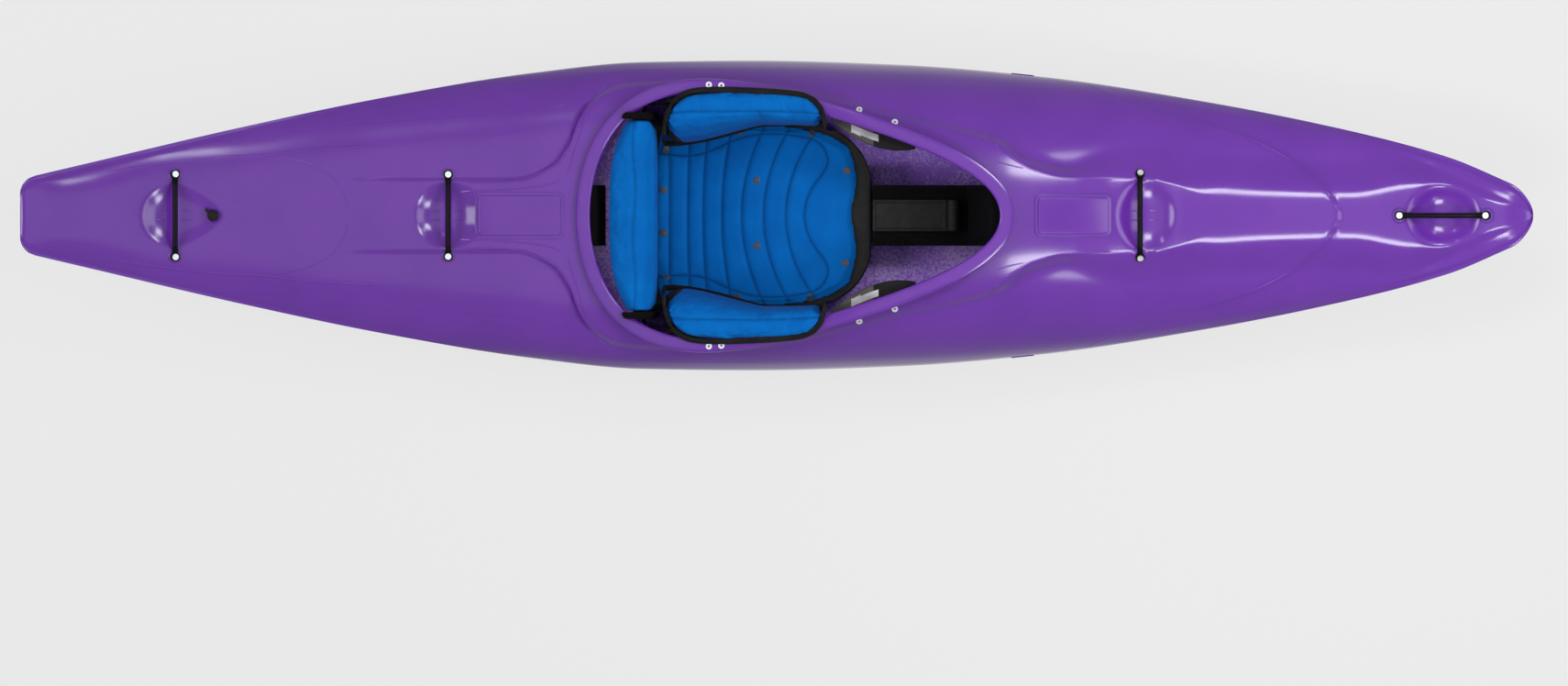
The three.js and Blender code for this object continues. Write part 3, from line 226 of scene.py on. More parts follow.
def makeLamps():
    aim, size = studio["aim"], studio["endSize"]
    for i, (middle, across, length, width, power) in enumerate(studio["strips"]):
        areaLamp(f"stripLamp{i}", (middle, across, studio["stripHeight"]), (middle, 0, aim), length, width, power)
    for i, (along, power) in enumerate(studio["ends"]):
        areaLamp(f"endLamp{i}", (along, 0, studio["endHeight"]), (0, 0, aim), size, size, power)
    top = (0, 0, studio["topHeight"])
    areaLamp("topLamp", top, (0, 0, 0), studio["topSize"], studio["topSize"], studio["topPower"])


bpy.context.scene.view_settings.view_transform = "Standard"
makeCamera()
makeWorld()
makeFloor()
makeLamps()

print("stage: materials")
# each finish: two near colours, the size in mm of the patches between them, and its fine grain as
# the size in mm, strength and depth in mm of a bump; roughOver spreads the roughness over patches
noise, cells = ("ShaderNodeTexNoise", "Fac"), ("ShaderNodeTexVoronoi", "Distance")
finishes = {
    # linear polyethylene from a polished hot mould: waxy gloss, faint orange peel, fine scuffs
    "rotomouldedPolyethylene": {
        "colours": ("#602899", "#662c9f"), "patchMm": 111, "roughness": 0.16, "grain": (noise, 6.25, 0.05, 0.5),
        "roughOver": (200, 1, 0.13, 0.18), "sockets": {"IOR": 1.51, "Specular IOR Level": 0.4},
    },
    # the same plastic where no mould touches it: matt, with clouds of unevenly sintered powder;
    # both its colours are painted paler than the plastic: painted light for the light that reaches inside the hull
    "polyethyleneInnerFace": {
        "colours": ("#8a5acc", "#c4a0ee"), "patchMm": 143, "roughness": 0.6, "grain": (noise, 5.88, 0.3, 1),
        "sockets": {"IOR": 1.51},
    },
    # glass-filled nylon, bead-blasted mould: dull black with a fine even grain
    "mouldedNylon": {
        "colours": ("#131212", "#1e1d1c"), "patchMm": 16.7, "roughness": 0.6, "grain": (noise, 1.11, 0.35, 0.4),
        "sockets": {"IOR": 1.53, "Specular IOR Level": 0.16},
    },
    # acetal press stud: dark grey, a little brighter than the mouldings, satin
    "acetalPressStud": {
        "colours": ("#3a3b3e", "#4a4b4e"), "patchMm": 5, "roughness": 0.38, "grain": (noise, 1.11, 0.2, 0.3),
        "sockets": {"IOR": 1.48},
    },
    # cross-linked polyethylene foam, knife-cut: near black, open cells speckle the faces
    "closedCellFoam": {
        "colours": ("#060506", "#121112"), "patchMm": 4.17, "roughness": 0.85, "grain": (cells, 2.38, 0.4, 0.8),
        "sockets": {"IOR": 1.4, "Specular IOR Level": 0.08},
    },
    # vinyl-sleeved grab loop: black, satin, smooth
    "strapVinyl": {
        "colours": ("#040404", "#080808"), "patchMm": 11.1, "roughness": 0.4, "grain": (noise, 0.91, 0.2, 0.3),
        "sockets": {"IOR": 1.52, "Specular IOR Level": 0.08},
    },
    # stainless button heads, tumbled: bright with a fine haze
    "stainlessSteel": {
        "colours": ("#c4c7ca", "#dcdee0"), "patchMm": 3.33, "roughness": 0.3, "roughOver": (1.43, 2, 0.24, 0.4),
        "sockets": {"Metallic": 1.0},
    },
    # mill-finish aluminium: grey, drawn lines along the rail
    "extrudedAluminium": {
        "colours": ("#9a9ca0", "#aeb0b4"), "patchMm": 25, "roughness": 0.4,
        "grain": (noise, (250, 1.11, 1.11), 0.2, 0.3), "sockets": {"Metallic": 1.0},
    },
    # neoprene plug and seal: black, slightly dusty
    "mouldedRubber": {
        "colours": ("#040404", "#0b0b0b"), "patchMm": 6.67, "roughness": 0.5, "grain": (noise, 1.25, 0.2, 0.3),
        "sockets": {"IOR": 1.52, "Specular IOR Level": 0.2},
    },
}
# nylon cloths: their colours, thread spacing in mm and how strongly they crease; the real thread
# of about 0.4 mm is too fine to show, so the weave is drawn four times as coarse
cloths = {
    "blueNylonCloth": {"colours": ("#0066bc", "#0070c8"), "threadMm": 1.6, "crease": 0.25},
    "blueNylonOverFoam": {"colours": ("#0066bc", "#0072cb"), "threadMm": 1.6, "crease": 1.0},
    "blackBindingTape": {"colours": ("#161616", "#242424"), "threadMm": 1.6, "crease": 0.25},
    "greyThighCloth": {"colours": ("#4a4745", "#5c5956"), "threadMm": 2.2, "crease": 0.4},
    "paleGreyPatch": {"colours": ("#8f8f90", "#e4e4e4"), "threadMm": 2.2, "crease": 0.6},
}


def newMaterial(name, look):
    # a material whose base colour drifts between two near colours
    material = bpy.data.materials.new(name)
    material.use_nodes = True
    tree = material.node_tree
    shader = tree.nodes["Principled BSDF"]
    for key, value in {"Roughness": look["roughness"], **look["sockets"]}.items():
        shader.inputs[key].default_value = value
    where = addNode(tree, "ShaderNodeTexCoord", {}).outputs["Object"]
    patches = addNode(tree, "ShaderNodeTexNoise", {"Scale": 1 / (look["patchMm"] * mm), "Detail": 3}, [
        ("Vector", where),
    ])
    ramp = addNode(tree, "ShaderNodeValToRGB", {}, [("Fac", patches.outputs["Fac"])])
    for element, position, colour in zip(ramp.color_ramp.elements, (0.3, 0.7), look["colours"]):
        element.position = position
        element.color = linear(colour)
    tree.links.new(ramp.outputs["Color"], shader.inputs["Base Color"])
    return material, tree, shader, where, ramp


def makeFinish(name, look):
    material, tree, shader, where, ramp = newMaterial(name, look)
    if "grain" in look:
        (kind, output), size, strength, depth = look["grain"]
        sizes = size if isinstance(size, tuple) else (size, size, size)
        fine = addNode(tree, "ShaderNodeMapping", {"Scale": [1 / (each * mm) for each in sizes]}, [("Vector", where)])
        grain = addNode(tree, kind, {"Scale": 1}, [("Vector", fine.outputs["Vector"])])
        bump = addNode(tree, "ShaderNodeBump", {"Strength": strength, "Distance": depth * mm}, [
            ("Height", grain.outputs[output]),
        ])
        tree.links.new(bump.outputs["Normal"], shader.inputs["Normal"])
    if "roughOver" in look:
        size, detail, low, high = look["roughOver"]
        slow = addNode(tree, "ShaderNodeTexNoise", {"Scale": 1 / (size * mm), "Detail": detail}, [("Vector", where)])
        spread = addNode(tree, "ShaderNodeMapRange", {"To Min": low, "To Max": high}, [("Value", slow.outputs["Fac"])])
        tree.links.new(spread.outputs["Result"], shader.inputs["Roughness"])
    if name == "polyethyleneInnerFace":
        # the grains show most inside the clouds
        patches = ramp.inputs["Fac"].links[0].from_node
        patches.inputs["Distortion"].default_value = 0.4
        grain.inputs["Detail"].default_value = 3
        both = addNode(tree, "ShaderNodeMath", {"operation": "MULTIPLY"}, [
            (0, patches.outputs["Fac"]), (1, grain.outputs["Fac"]),
        ])
        tree.links.new(both.outputs[0], ramp.inputs["Fac"])
        ramp.color_ramp.elements[0].position = 0.2
        ramp.color_ramp.elements[1].position = 0.36
    return material


def makeCloth(name, look):
    # plain weave: two crossed thread directions
    look = {**look, "patchMm": 62.5, "roughness": 0.78, "sockets": {"Sheen Weight": 0.02, "Specular IOR Level": 0.08}}
    material, tree, shader, where, ramp = newMaterial(name, look)
    threads = []
    for turn in (0, math.pi / 2):
        along = addNode(tree, "ShaderNodeMapping", {"Rotation": (0, 0, turn)}, [("Vector", where)])
        wave = {"Scale": 1 / (2 * look["threadMm"] * mm), "Distortion": 0.6}
        threads.append(addNode(tree, "ShaderNodeTexWave", wave, [("Vector", along.outputs["Vector"])]).outputs["Fac"])
    weave = addNode(tree, "ShaderNodeMath", {"operation": "MULTIPLY"}, [(0, threads[0]), (1, threads[1])])
    tint = addNode(tree, "ShaderNodeMapRange", {"To Min": 0.88, "To Max": 1.05}, [("Value", weave.outputs[0])])
    # the sewn lines are darker: thread in the groove, and painted shade for the shade on its two lips
    stitchAndPaintedShade = addNode(tree, "ShaderNodeAttribute", {"attribute_name": "stitchAndPaintedShade"})
    shade = addNode(tree, "ShaderNodeMapRange", {"To Min": 1.0, "To Max": 0.42}, [("Value", stitchAndPaintedShade.outputs["Fac"])])
    both = addNode(tree, "ShaderNodeMath", {"operation": "MULTIPLY"}, [
        (0, tint.outputs["Result"]), (1, shade.outputs["Result"]),
    ])
    shaded = addNode(tree, "ShaderNodeVectorMath", {"operation": "SCALE"}, [
        (0, ramp.outputs["Color"]), ("Scale", both.outputs[0]),
    ])
    tree.links.new(shaded.outputs["Vector"], shader.inputs["Base Color"])
    folds = addNode(tree, "ShaderNodeTexNoise", {"Scale": 34, "Detail": 4, "Distortion": 1.2}, [("Vector", where)])
    creases = addNode(tree, "ShaderNodeBump", {"Strength": look["crease"], "Distance": 0.006}, [
        ("Height", folds.outputs["Fac"]),
    ])
    bump = addNode(tree, "ShaderNodeBump", {"Strength": 0.25, "Distance": 0.0004}, [
        ("Height", weave.outputs[0]), ("Normal", creases.outputs["Normal"]),
    ])
    tree.links.new(bump.outputs["Normal"], shader.inputs["Normal"])
    return material


made = {name: makeFinish(name, look) for name, look in finishes.items()}
made.update({name: makeCloth(name, look) for name, look in cloths.items()})
hullPlastic, innerPlastic = made["rotomouldedPolyethylene"], made["polyethyleneInnerFace"]
nylon, foam, rubber = made["mouldedNylon"], made["closedCellFoam"], made["mouldedRubber"]
blueCloth, foldedCloth, binding = made["blueNylonCloth"], made["blueNylonOverFoam"], made["blackBindingTape"]
vinyl, steel, greyCloth = made["strapVinyl"], made["stainlessSteel"], made["greyThighCloth"]
slotMaterials = {
    "hull_plastic": hullPlastic, "strap": vinyl, "moulding": nylon, "foam": foam, "brace_cloth": greyCloth,
    "cloth": blueCloth, "plug_rubber": rubber, "rail_aluminium": made["extrudedAluminium"], "bolt_steel": steel,
}
for part in frame["record"]["subparts"]:
    node = nodes[part["node"]]
    node.data.materials.clear()
    node.data.materials.append(slotMaterials[part["material_slot"]])
    smoothBy(node, 35)

print("stage: hull")
hull = {
    "length": 3150, "beam": 645, "height": 400, "wall": 5, "chineHeight": 38, "flatShare": 0.35,
    "tailCorner": 29, "bowRound": 45, "edgeRound": 14, "platformHeight": 22, "platformRamp": 60,
    "bottomPower": 2.2, "sidePower": 1.8, "coarseStep": 14, "fineStep": 6, "tipFrom": 1000,
    "counts": {"bottom": 7, "side": 7, "shoulder": 18, "ramp": 10, "platform": 16},
}
# shares along the hull from the stern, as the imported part's own
hullShares = {
    "beam": [
        [0, 0.235], [0.047, 0.343], [0.144, 0.565], [0.241, 0.763], [0.338, 0.92], [0.411, 0.991], [0.484, 1],
        [0.581, 0.973], [0.678, 0.893], [0.775, 0.749], [0.872, 0.562], [0.944, 0.376], [0.981, 0.225], [1, 0.14],
    ],
    "deck": [
        [0, 0.92], [0.023, 0.9], [0.046, 0.862], [0.093, 0.768], [0.141, 0.709], [0.213, 0.661], [0.285, 0.655],
        [0.358, 0.673], [0.394, 0.69], [0.455, 0.745], [0.502, 0.818], [0.561, 0.902], [0.604, 0.92],
        [0.646, 0.915], [0.672, 0.9], [0.696, 0.867], [0.721, 0.823], [0.742, 0.8], [0.766, 0.785],
        [0.791, 0.77], [0.84, 0.75], [0.892, 0.746], [0.932, 0.75], [0.956, 0.777], [0.969, 0.802],
        [0.981, 0.814], [1, 0.8],
    ],
    "keel": [
        [0, 0.9], [0.046, 0.761], [0.093, 0.637], [0.141, 0.517], [0.189, 0.407], [0.236, 0.302], [0.285, 0.208],
        [0.334, 0.131], [0.382, 0.079], [0.43, 0.045], [0.467, 0.018], [0.497, 0], [0.6655, 0],
        [0.69, 0.012], [0.718, 0.034], [0.767, 0.066], [0.817, 0.122], [0.867, 0.213], [0.916, 0.341],
        [0.942, 0.437], [0.968, 0.556], [0.988, 0.675], [1, 0.77],
    ],
    "gunwale": [
        [0, 0.908], [0.093, 0.718], [0.152, 0.622], [0.226, 0.551], [0.289, 0.494], [0.338, 0.446], [0.373, 0.422],
        [0.447, 0.395], [0.532, 0.388], [0.623, 0.4], [0.744, 0.45], [0.828, 0.502], [0.872, 0.545],
        [0.929, 0.65], [0.987, 0.77], [1, 0.79],
    ],
    "chineRise": [
        [0, 0.03], [0.047, 0.1], [0.138, 0.32], [0.229, 0.6], [0.29, 0.84], [0.35, 0.92], [0.47, 1], [0.6, 1],
        [0.714, 0.95], [0.811, 0.82], [0.89, 0.53], [0.95, 0.32], [1, 0.05],
    ],
    "chineWidth": [
        [0, 0.8], [0.14, 0.78], [0.29, 0.78], [0.47, 0.8], [0.6, 0.8], [0.714, 0.76], [0.811, 0.7], [0.89, 0.6],
        [0.95, 0.5], [1, 0.4],
    ],
    "fullness": [
        [0, 2], [0.14, 2.2], [0.29, 3], [0.41, 4.5], [0.47, 5], [0.53, 4], [0.57, 3.2], [0.62, 2.6], [0.68, 2.2],
        [0.77, 2], [1, 2],
    ],
    "edge": [[0, 0.9], [0.2, 0.8], [0.3, 0.65], [0.4, 0.5], [0.7, 0.5], [0.85, 0.6], [1, 0.6]],
    "platformWidth": [
        [0, 0.2], [0.247, 0.214], [0.328, 0.214], [0.353, 0.313], [0.362, 0.434], [0.372, 0.66], [0.397, 0.81],
        [0.42, 0.83], [0.47, 0.83], [0.53, 0.74], [0.585, 0.6], [0.647, 0.443], [0.669, 0.3], [0.693, 0.242],
        [0.735, 0.235], [0.757, 0.22], [0.784, 0.14], [0.823, 0.104], [0.88, 0.09], [0.926, 0.17], [0.95, 0.14],
        [0.981, 0.06], [1, 0.03],
    ],
    "platformRise": [
        [0, 0], [0.2, 0], [0.26, 0.2], [0.33, 0.35], [0.38, 0.5], [0.42, 0.35], [0.5, 0.3], [0.6, 0.5], [0.66, 0.9],
        [0.7, 1], [0.9, 1], [0.93, 0.8], [0.97, 0.2], [1, 0],
    ],
    "platformRamp": [
        [0, 0.3], [0.33, 0.2], [0.4, 0.25], [0.6, 0.35], [0.69, 0.45], [0.725, 1.1], [0.745, 1.3], [0.785, 1.45],
        [0.9, 1.45], [0.935, 0.8], [1, 0.1],
    ],
}
cockpit = {
    "length": 853, "width": 516, "middle": 38, "lipWidth": 30, "lipDepth": 23, "lipWall": 5, "lipGap": 4,
    "riserWall": 6, "egg": (0.872, -0.435, 0.2), "steps": 150, "crown": 2.2, "flare": 9,
    "rim": [
        [0, 0.709], [0.17, 0.718], [0.31, 0.757], [0.42, 0.81], [0.57, 0.88], [0.67, 0.925], [0.77, 0.955],
        [0.88, 0.99], [1, 1],
    ],
}
dishes = {
    "stern": {"x": -1250, "halfLength": 70, "tip": 96, "halfWidth": 68, "depth": 14},
    "rear": {"x": -684, "halfLength": 69, "tip": 69, "halfWidth": 69, "depth": 18},
    "front": {"x": 772, "halfLength": 60, "tip": 60, "halfWidth": 74, "depth": 18},
    "bow": {"x": 1388, "halfLength": 73, "tip": 73, "halfWidth": 63, "depth": 20},
}
# the low step that crosses the bow: where it lies from the middle of the boat, and how far out
bowStep = {
    "rise": 3.5, "start": 640, "full": 800,
    "edge": [[640, 275], [777, 219], [916, 189], [1038, 138], [1124, 78], [1161, 30], [1174, 0]],
}
gunwaleStep = {"inset": (9, 15), "drop": 2.2}  # a narrow ledge that runs round the deck's edge


def curveThrough(rows):
    # smooth curve through rows of [share, value] that never overshoots between two rows
    at = np.array([row[0] for row in rows], float)
    value = np.array([row[1] for row in rows], float)
    slope = np.diff(value) / np.diff(at)
    before, after = slope[:-1], slope[1:]
    same = before * after > 0
    inner = np.where(same, 2 * before * after / np.where(same, before + after, 1), 0)
    tangent = np.concatenate([[slope[0]], inner, [slope[-1]]])

    def curve(where):
        where = np.clip(where, at[0], at[-1])
        i = np.clip(np.searchsorted(at, where, side="right") - 1, 0, len(rows) - 2)
        span = at[i + 1] - at[i]
        t = (where - at[i]) / span
        leave = tangent[i] * span * t * (1 - t) ** 2
        arrive = tangent[i + 1] * span * t * t * (1 - t)
        return value[i] + (value[i + 1] - value[i]) * t * t * (3 - 2 * t) + leave - arrive
    return curve


hullCurves = {name: curveThrough(rows) for name, rows in hullShares.items()}
rimCurve = curveThrough(cockpit["rim"])
stepCurve = curveThrough(bowStep["edge"])


def endRound(distance, radius):
    left = np.maximum(0, 1 - distance / radius)
    return np.sqrt(np.maximum(0, 1 - left * left))


def smoothStep(value, low, high):
    t = np.clip((value - low) / np.maximum(high - low, 1e-9), 0, 1)
    return t * t * (3 - 2 * t)


def sectionAt(x):
    # the named sizes of the hull's section at one or more places along X
    x = np.asarray(x, float)
    share = np.clip(x / hull["length"] + 0.5, 0, 1)
    fromStern = share * hull["length"]
    fromBow = hull["length"] - fromStern
    sized = {name: curve(share) for name, curve in hullCurves.items()}
    tailCut = hull["tailCorner"] * (1 - endRound(fromStern, hull["tailCorner"]))
    halfBeam = sized["beam"] * hull["beam"] / 2 - tailCut
    close = endRound(np.minimum(fromStern, fromBow) + 0.3, hull["edgeRound"])
    gunwale = sized["gunwale"] * hull["height"]
    keel = gunwale + (sized["keel"] * hull["height"] - gunwale) * close
    deck = gunwale + (sized["deck"] * hull["height"] - gunwale) * close
    narrow = endRound(fromBow + 0.3, hull["bowRound"])
    return {
        "halfBeam": halfBeam * narrow,
        "gunwale": gunwale,
        "keel": keel,
        "deck": deck,
        "rise": np.minimum(sized["platformRise"] * hull["platformHeight"], (deck - gunwale) / 2),
        "chine": sized["chineWidth"] * halfBeam * narrow,
        "chineRise": sized["chineRise"] * hull["chineHeight"] * close,
        "fullness": sized["fullness"],
        "edge": sized["edge"],
        "platform": sized["platformWidth"] * hull["beam"] * narrow / 2,
        "ramp": sized["platformRamp"] * hull["platformRamp"] * narrow,
        "rampLean": 1 - 0.38 * smoothStep(share, 0.7, 0.76) + 0.68 * smoothStep(share, 0.76, 0.8),
    }


def deckHeight(section, y):
    across = np.minimum(1, np.abs(y) / section["halfBeam"])
    dome = (1 - across ** section["fullness"]) ** section["edge"]
    share = np.clip((np.abs(y) - section["platform"]) / np.maximum(section["ramp"], 1e-6), 0, 1)
    step = 1 - smoothStep(share ** section["rampLean"], 0, 1)
    body = section["deck"] - section["rise"] - section["gunwale"]
    return section["gunwale"] + body * dome + section["rise"] * step


def deckRelief(x, y):
    # what the grip dishes and the bow step add to the deck's plain height
    relief = np.zeros(np.broadcast(x, y).shape)
    for dish in dishes.values():
        forward = (x - dish["x"]) / dish["tip"]
        along = np.where(forward > 0, forward, (x - dish["x"]) / dish["halfLength"])
        taper = np.where(forward > 0, 1 - (dish["tip"] > dish["halfLength"]) * 0.45 * np.clip(forward, 0, 1), 1)
        radius = np.sqrt(along ** 2 + (y / (dish["halfWidth"] * taper)) ** 2)
        bowl = 9 * (1 - radius ** 2.6)
        relief -= dish["depth"] * np.log1p(np.exp(np.clip(bowl, -30, 30))) / 9
    out = (stepCurve(x) - np.abs(y)) / np.sqrt(1 + ((stepCurve(x + 4) - stepCurve(x - 4)) / 8) ** 2)
    out = np.where(x > bowStep["edge"][-1][0], -20, out)
    fade = smoothStep(x, bowStep["start"], bowStep["full"])
    relief += bowStep["rise"] * fade * (smoothStep(out, -3, 3) - 1)
    inside = sectionAt(x)["halfBeam"] - np.abs(y)
    low, high = gunwaleStep["inset"]
    relief -= gunwaleStep["drop"] * (1 - smoothStep(inside, low, high)) * smoothStep(inside, 0, low * 0.6)
    return relief


def deckPoint(x, y):
    return Vector((x, y, float(deckHeight(sectionAt(x), y))))


def deckNormal(x, y):
    reach = hull["wall"]
    fore = deckPoint(x + reach, y) - deckPoint(x - reach, y)
    side = deckPoint(x, y + reach) - deckPoint(x, y - reach)
    return fore.cross(side).normalized()


def bottomLift(share):
    # how the bottom rises from its flat middle to the chine
    return np.maximum(0, (share - hull["flatShare"]) / (1 - hull["flatShare"])) ** hull["bottomPower"]


def hullStations():
    # places along the hull, closer over the dishes, the pads and the bow step
    fine = [(-1345, -1130), (-770, -430), (540, 860), (900, 1200), (1300, 1475), (-1575, -1560), (1520, 1575)]
    places = [-hull["length"] / 2]
    while places[-1] < hull["length"] / 2:
        here = places[-1]
        isFine = any(low - 6 <= here <= high for low, high in fine)
        places.append(here + (hull["fineStep"] if isFine else hull["coarseStep"]))
    places[-1] = hull["length"] / 2
    ends = np.array([0.6, 2, 4.5])
    return np.unique(np.concatenate([places, places[0] + ends, places[-1] - ends]))


def hullRings(places):
    # rings of points round the hull, from the keel over the gunwale to the deck's middle and back
    s = {name: value[:, None] for name, value in sectionAt(places).items()}
    x, counts = places[:, None], hull["counts"]
    v = np.linspace(0, 1, counts["bottom"])[None, :]
    parts = [(s["chine"] * v, s["keel"] + s["chineRise"] * bottomLift(v))]
    w = np.linspace(0, 1, counts["side"])[None, 1:]
    chineZ = s["keel"] + s["chineRise"]
    out = s["chine"] + (s["halfBeam"] - s["chine"]) * (1 - (1 - w) ** hull["sidePower"])
    parts.append((out, chineZ + (s["gunwale"] - chineZ) * w))
    foot = np.minimum(s["platform"] + s["ramp"], s["halfBeam"] * 0.97)
    u = 1 - (np.linspace(0, 1, counts["shoulder"])[None, 1:]) ** 1.6
    platform = np.minimum(s["platform"], foot * 0.95)
    r = np.linspace(1, 0, counts["ramp"])[None, 1:]
    p = np.linspace(1, 0, counts["platform"])[None, 1:]
    for y in (foot + (s["halfBeam"] - foot) * u, platform + (foot - platform) * r, platform * p):
        parts.append((y, deckHeight(s, y) + deckRelief(x, y)))
    y, z = (np.concatenate([part[i] for part in parts], axis=1) for i in (0, 1))
    y = np.concatenate([y, -y[:, -2:0:-1]], axis=1)
    z = np.concatenate([z, z[:, -2:0:-1]], axis=1)
    return np.stack([np.broadcast_to(x, y.shape), y, z], axis=2)


def gridPiece(name, rings, wrapAround=True, wrapAlong=False, fillEnds=True):
    # a grid primitive whose rows are laid on rings of points, closed round and at its ends
    rings = np.asarray(rings, float)
    if wrapAround:
        rings = np.concatenate([rings, rings[:, :1]], axis=1)
    if wrapAlong:
        rings = np.concatenate([rings, rings[:1]], axis=0)
    along, around = rings.shape[:2]
    deselectAll()
    bpy.ops.mesh.primitive_grid_add(x_subdivisions=around - 1, y_subdivisions=along - 1, size=1)
    piece = bpy.context.active_object
    piece.name = name
    assert len(piece.data.vertices) == along * around
    piece.data.vertices.foreach_set("co", (rings * mm).reshape(-1))
    piece.data.update()

    def close():
        bpy.ops.mesh.remove_doubles(threshold=2e-6)
        if fillEnds:
            bpy.ops.mesh.fill_holes(sides=0)
        bpy.ops.mesh.select_all(action="SELECT")
        bpy.ops.mesh.normals_make_consistent(inside=False)
    inEditMode(piece, close)
    return piece


def eggShare(c):
    return cockpit["egg"][0] + cockpit["egg"][1] * c + cockpit["egg"][2] * c * c


def openingPoint(angle, offset):
    # a point of the cockpit's opening, moved outwards in plan, at an angle from the front
    def plain(turn):
        c = np.cos(turn)
        return np.array([cockpit["length"] / 2 * c, cockpit["width"] / 2 * np.sin(turn) * eggShare(c)])
    ahead = plain(angle + 0.004) - plain(angle - 0.004)
    ahead = ahead / np.linalg.norm(ahead)
    at = plain(angle)
    return np.array([cockpit["middle"] + at[0] + ahead[1] * offset, at[1] - ahead[0] * offset])


def openingHalfWidth(x):
    c = np.clip((x - cockpit["middle"]) / (cockpit["length"] / 2), -1, 1)
    return cockpit["width"] / 2 * np.sqrt(1 - c * c) * eggShare(c)


def rimHeight(x):
    return rimCurve((x - cockpit["middle"]) / cockpit["length"] + 0.5) * hull["height"]


def roundedProfile(corners, steps=4):
    # corners of [x, y, radius]: each corner is turned by an arc of that radius
    points = []
    count = len(corners)
    for i, (cx, cy, radius) in enumerate(corners):
        here = np.array([cx, cy], float)
        back = np.array(corners[i - 1][:2], float) - here
        ahead = np.array(corners[(i + 1) % count][:2], float) - here
        reach = min(radius, 0.45 * np.linalg.norm(back), 0.45 * np.linalg.norm(ahead))
        start = here + back / np.linalg.norm(back) * reach
        end = here + ahead / np.linalg.norm(ahead) * reach
        for t in np.linspace(0, 1, steps):
            points.append((1 - t) ** 2 * start + 2 * t * (1 - t) * here + t * t * end)
    return points


def coamingRings():
    rings = []
    lip, lipWall, riser = cockpit["lipWidth"], cockpit["lipWall"], cockpit["riserWall"]
    for turn in np.linspace(0, 2 * math.pi, cockpit["steps"], endpoint=False):
        inner = openingPoint(turn, 0)
        top = float(rimHeight(inner[0]))

        def deckAt(offset, turn=turn):
            at = openingPoint(turn, offset)
            return float(deckHeight(sectionAt(at[0]), at[1]))
        room = top - max(deckAt(lip), deckAt(lip - lipWall)) - cockpit["lipGap"]
        depth = min(max(room, lipWall * 2), cockpit["lipDepth"])
        crown = cockpit["crown"]
        corners = [
            [0, deckAt(0) - 8, 0.5], [0, top - crown, 5], [lip * 0.45, top, 9], [lip, top - 1, 6],
            [lip, top - depth, 2], [lip - lipWall, top - depth, 2], [lip - lipWall, top - lipWall - 1, 4],
            [riser, top - lipWall - 1, 5], [riser, deckAt(riser) + 1.5, cockpit["flare"]],
            [riser + cockpit["flare"], deckAt(riser + cockpit["flare"]) - 0.3, 0.5],
            [riser + cockpit["flare"], deckAt(riser + cockpit["flare"]) - 4, 0.5],
        ]
        ring = []
        for offset, z in roundedProfile(corners):
            at = openingPoint(turn, offset)
            ring.append((at[0], at[1], z))
        rings.append(ring)
    return rings


loops = {
    "stern": {"x": -1253, "span": (0, 170), "rise": 11, "ends": ("right", "left")},
    "rear": {"x": -684, "span": (0, 170), "rise": 13, "ends": ("right", "left")},
    "front": {"x": 756, "span": (0, 170), "rise": 11, "ends": ("right", "left")},
    "bow": {"x": 1387, "span": (181, 0), "rise": 24, "ends": ("rear", "front")},
}
loopBar = {"width": 11, "thick": 8.8, "eyelet": 20, "eyeletThick": 6, "steps": 44, "around": 20}
boss = {"foot": 17, "crest": 13, "rise": 1.5, "deep": 4}  # the moulded cone under each eyelet
bolt = {
    "head": 13, "height": 4.5, "rim": 1.4, "shank": 6, "socket": 4.6, "socketDepth": 2.4, "overlap": 0.5,
    "loopShank": 20, "washer": 0.3,
}


def frameAt(point, up):
    # the place, in millimetres, that stands a piece's Z along a direction, with its X kept in line
    z = Vector(up).normalized()
    y = z.cross(Vector((1, 0, 0))).normalized()
    x = y.cross(z)
    place = Matrix((x, y, z)).transposed().to_4x4()
    place.translation = Vector(point)
    return place


def deckFrame(x, y):
    return frameAt(deckPoint(x, y), deckNormal(x, y))


def loopEnds(loop):
    acrossX, acrossY = loop["span"]
    return [deckFrame(loop["x"] + side * acrossX / 2, side * acrossY / 2) for side in (-1, 1)]


def putAt(piece, place, lift=0.0):
    # moves a piece modelled in metres at the origin to a place given in millimetres
    moved = place @ Matrix.Translation((0, 0, lift))
    moved.translation = moved.translation * mm
    piece.matrix_world = moved
    makeActive(piece)
    bpy.ops.object.transform_apply(location=True, rotation=True, scale=True)
    return piece


def halfOutline(outline):
    # the opening's left half as X places in rising order and the half width at each
    half = sorted((x, y) for x, y in outline if y > -1e-6)
    return [x for x, _ in half], [y for _, y in half]


def cutInto(shell, cutter):
    # joins a cutter to the open skin and splits the faces where the two cross
    cutterPoints = len(shell.data.vertices)
    joinAll([shell, cutter], shell.name)
    mesh = shell.data
    mesh.vertices.foreach_set("select", [i >= cutterPoints for i in range(len(mesh.vertices))])
    for parts in (mesh.edges, mesh.polygons):
        parts.foreach_set("select", [min(part.vertices) >= cutterPoints for part in parts])
    bpy.ops.object.mode_set(mode="EDIT")
    bpy.ops.mesh.intersect(mode="SELECT_UNSELECT", separate_mode="NONE", solver="EXACT")
    bpy.ops.object.mode_set(mode="OBJECT")


def deleteFaces(piece, chosen):
    # deletes the faces whose middle, in millimetres, passes the test
    makeActive(piece)
    bpy.ops.object.mode_set(mode="EDIT")
    bpy.ops.mesh.select_mode(type="FACE")
    bpy.ops.mesh.select_all(action="DESELECT")
    bpy.ops.object.mode_set(mode="OBJECT")
    for face in piece.data.polygons:
        face.select = bool(chosen(*(face.center / mm)))
    bpy.ops.object.mode_set(mode="EDIT")
    bpy.ops.mesh.delete(type="FACE")
    bpy.ops.object.mode_set(mode="OBJECT")


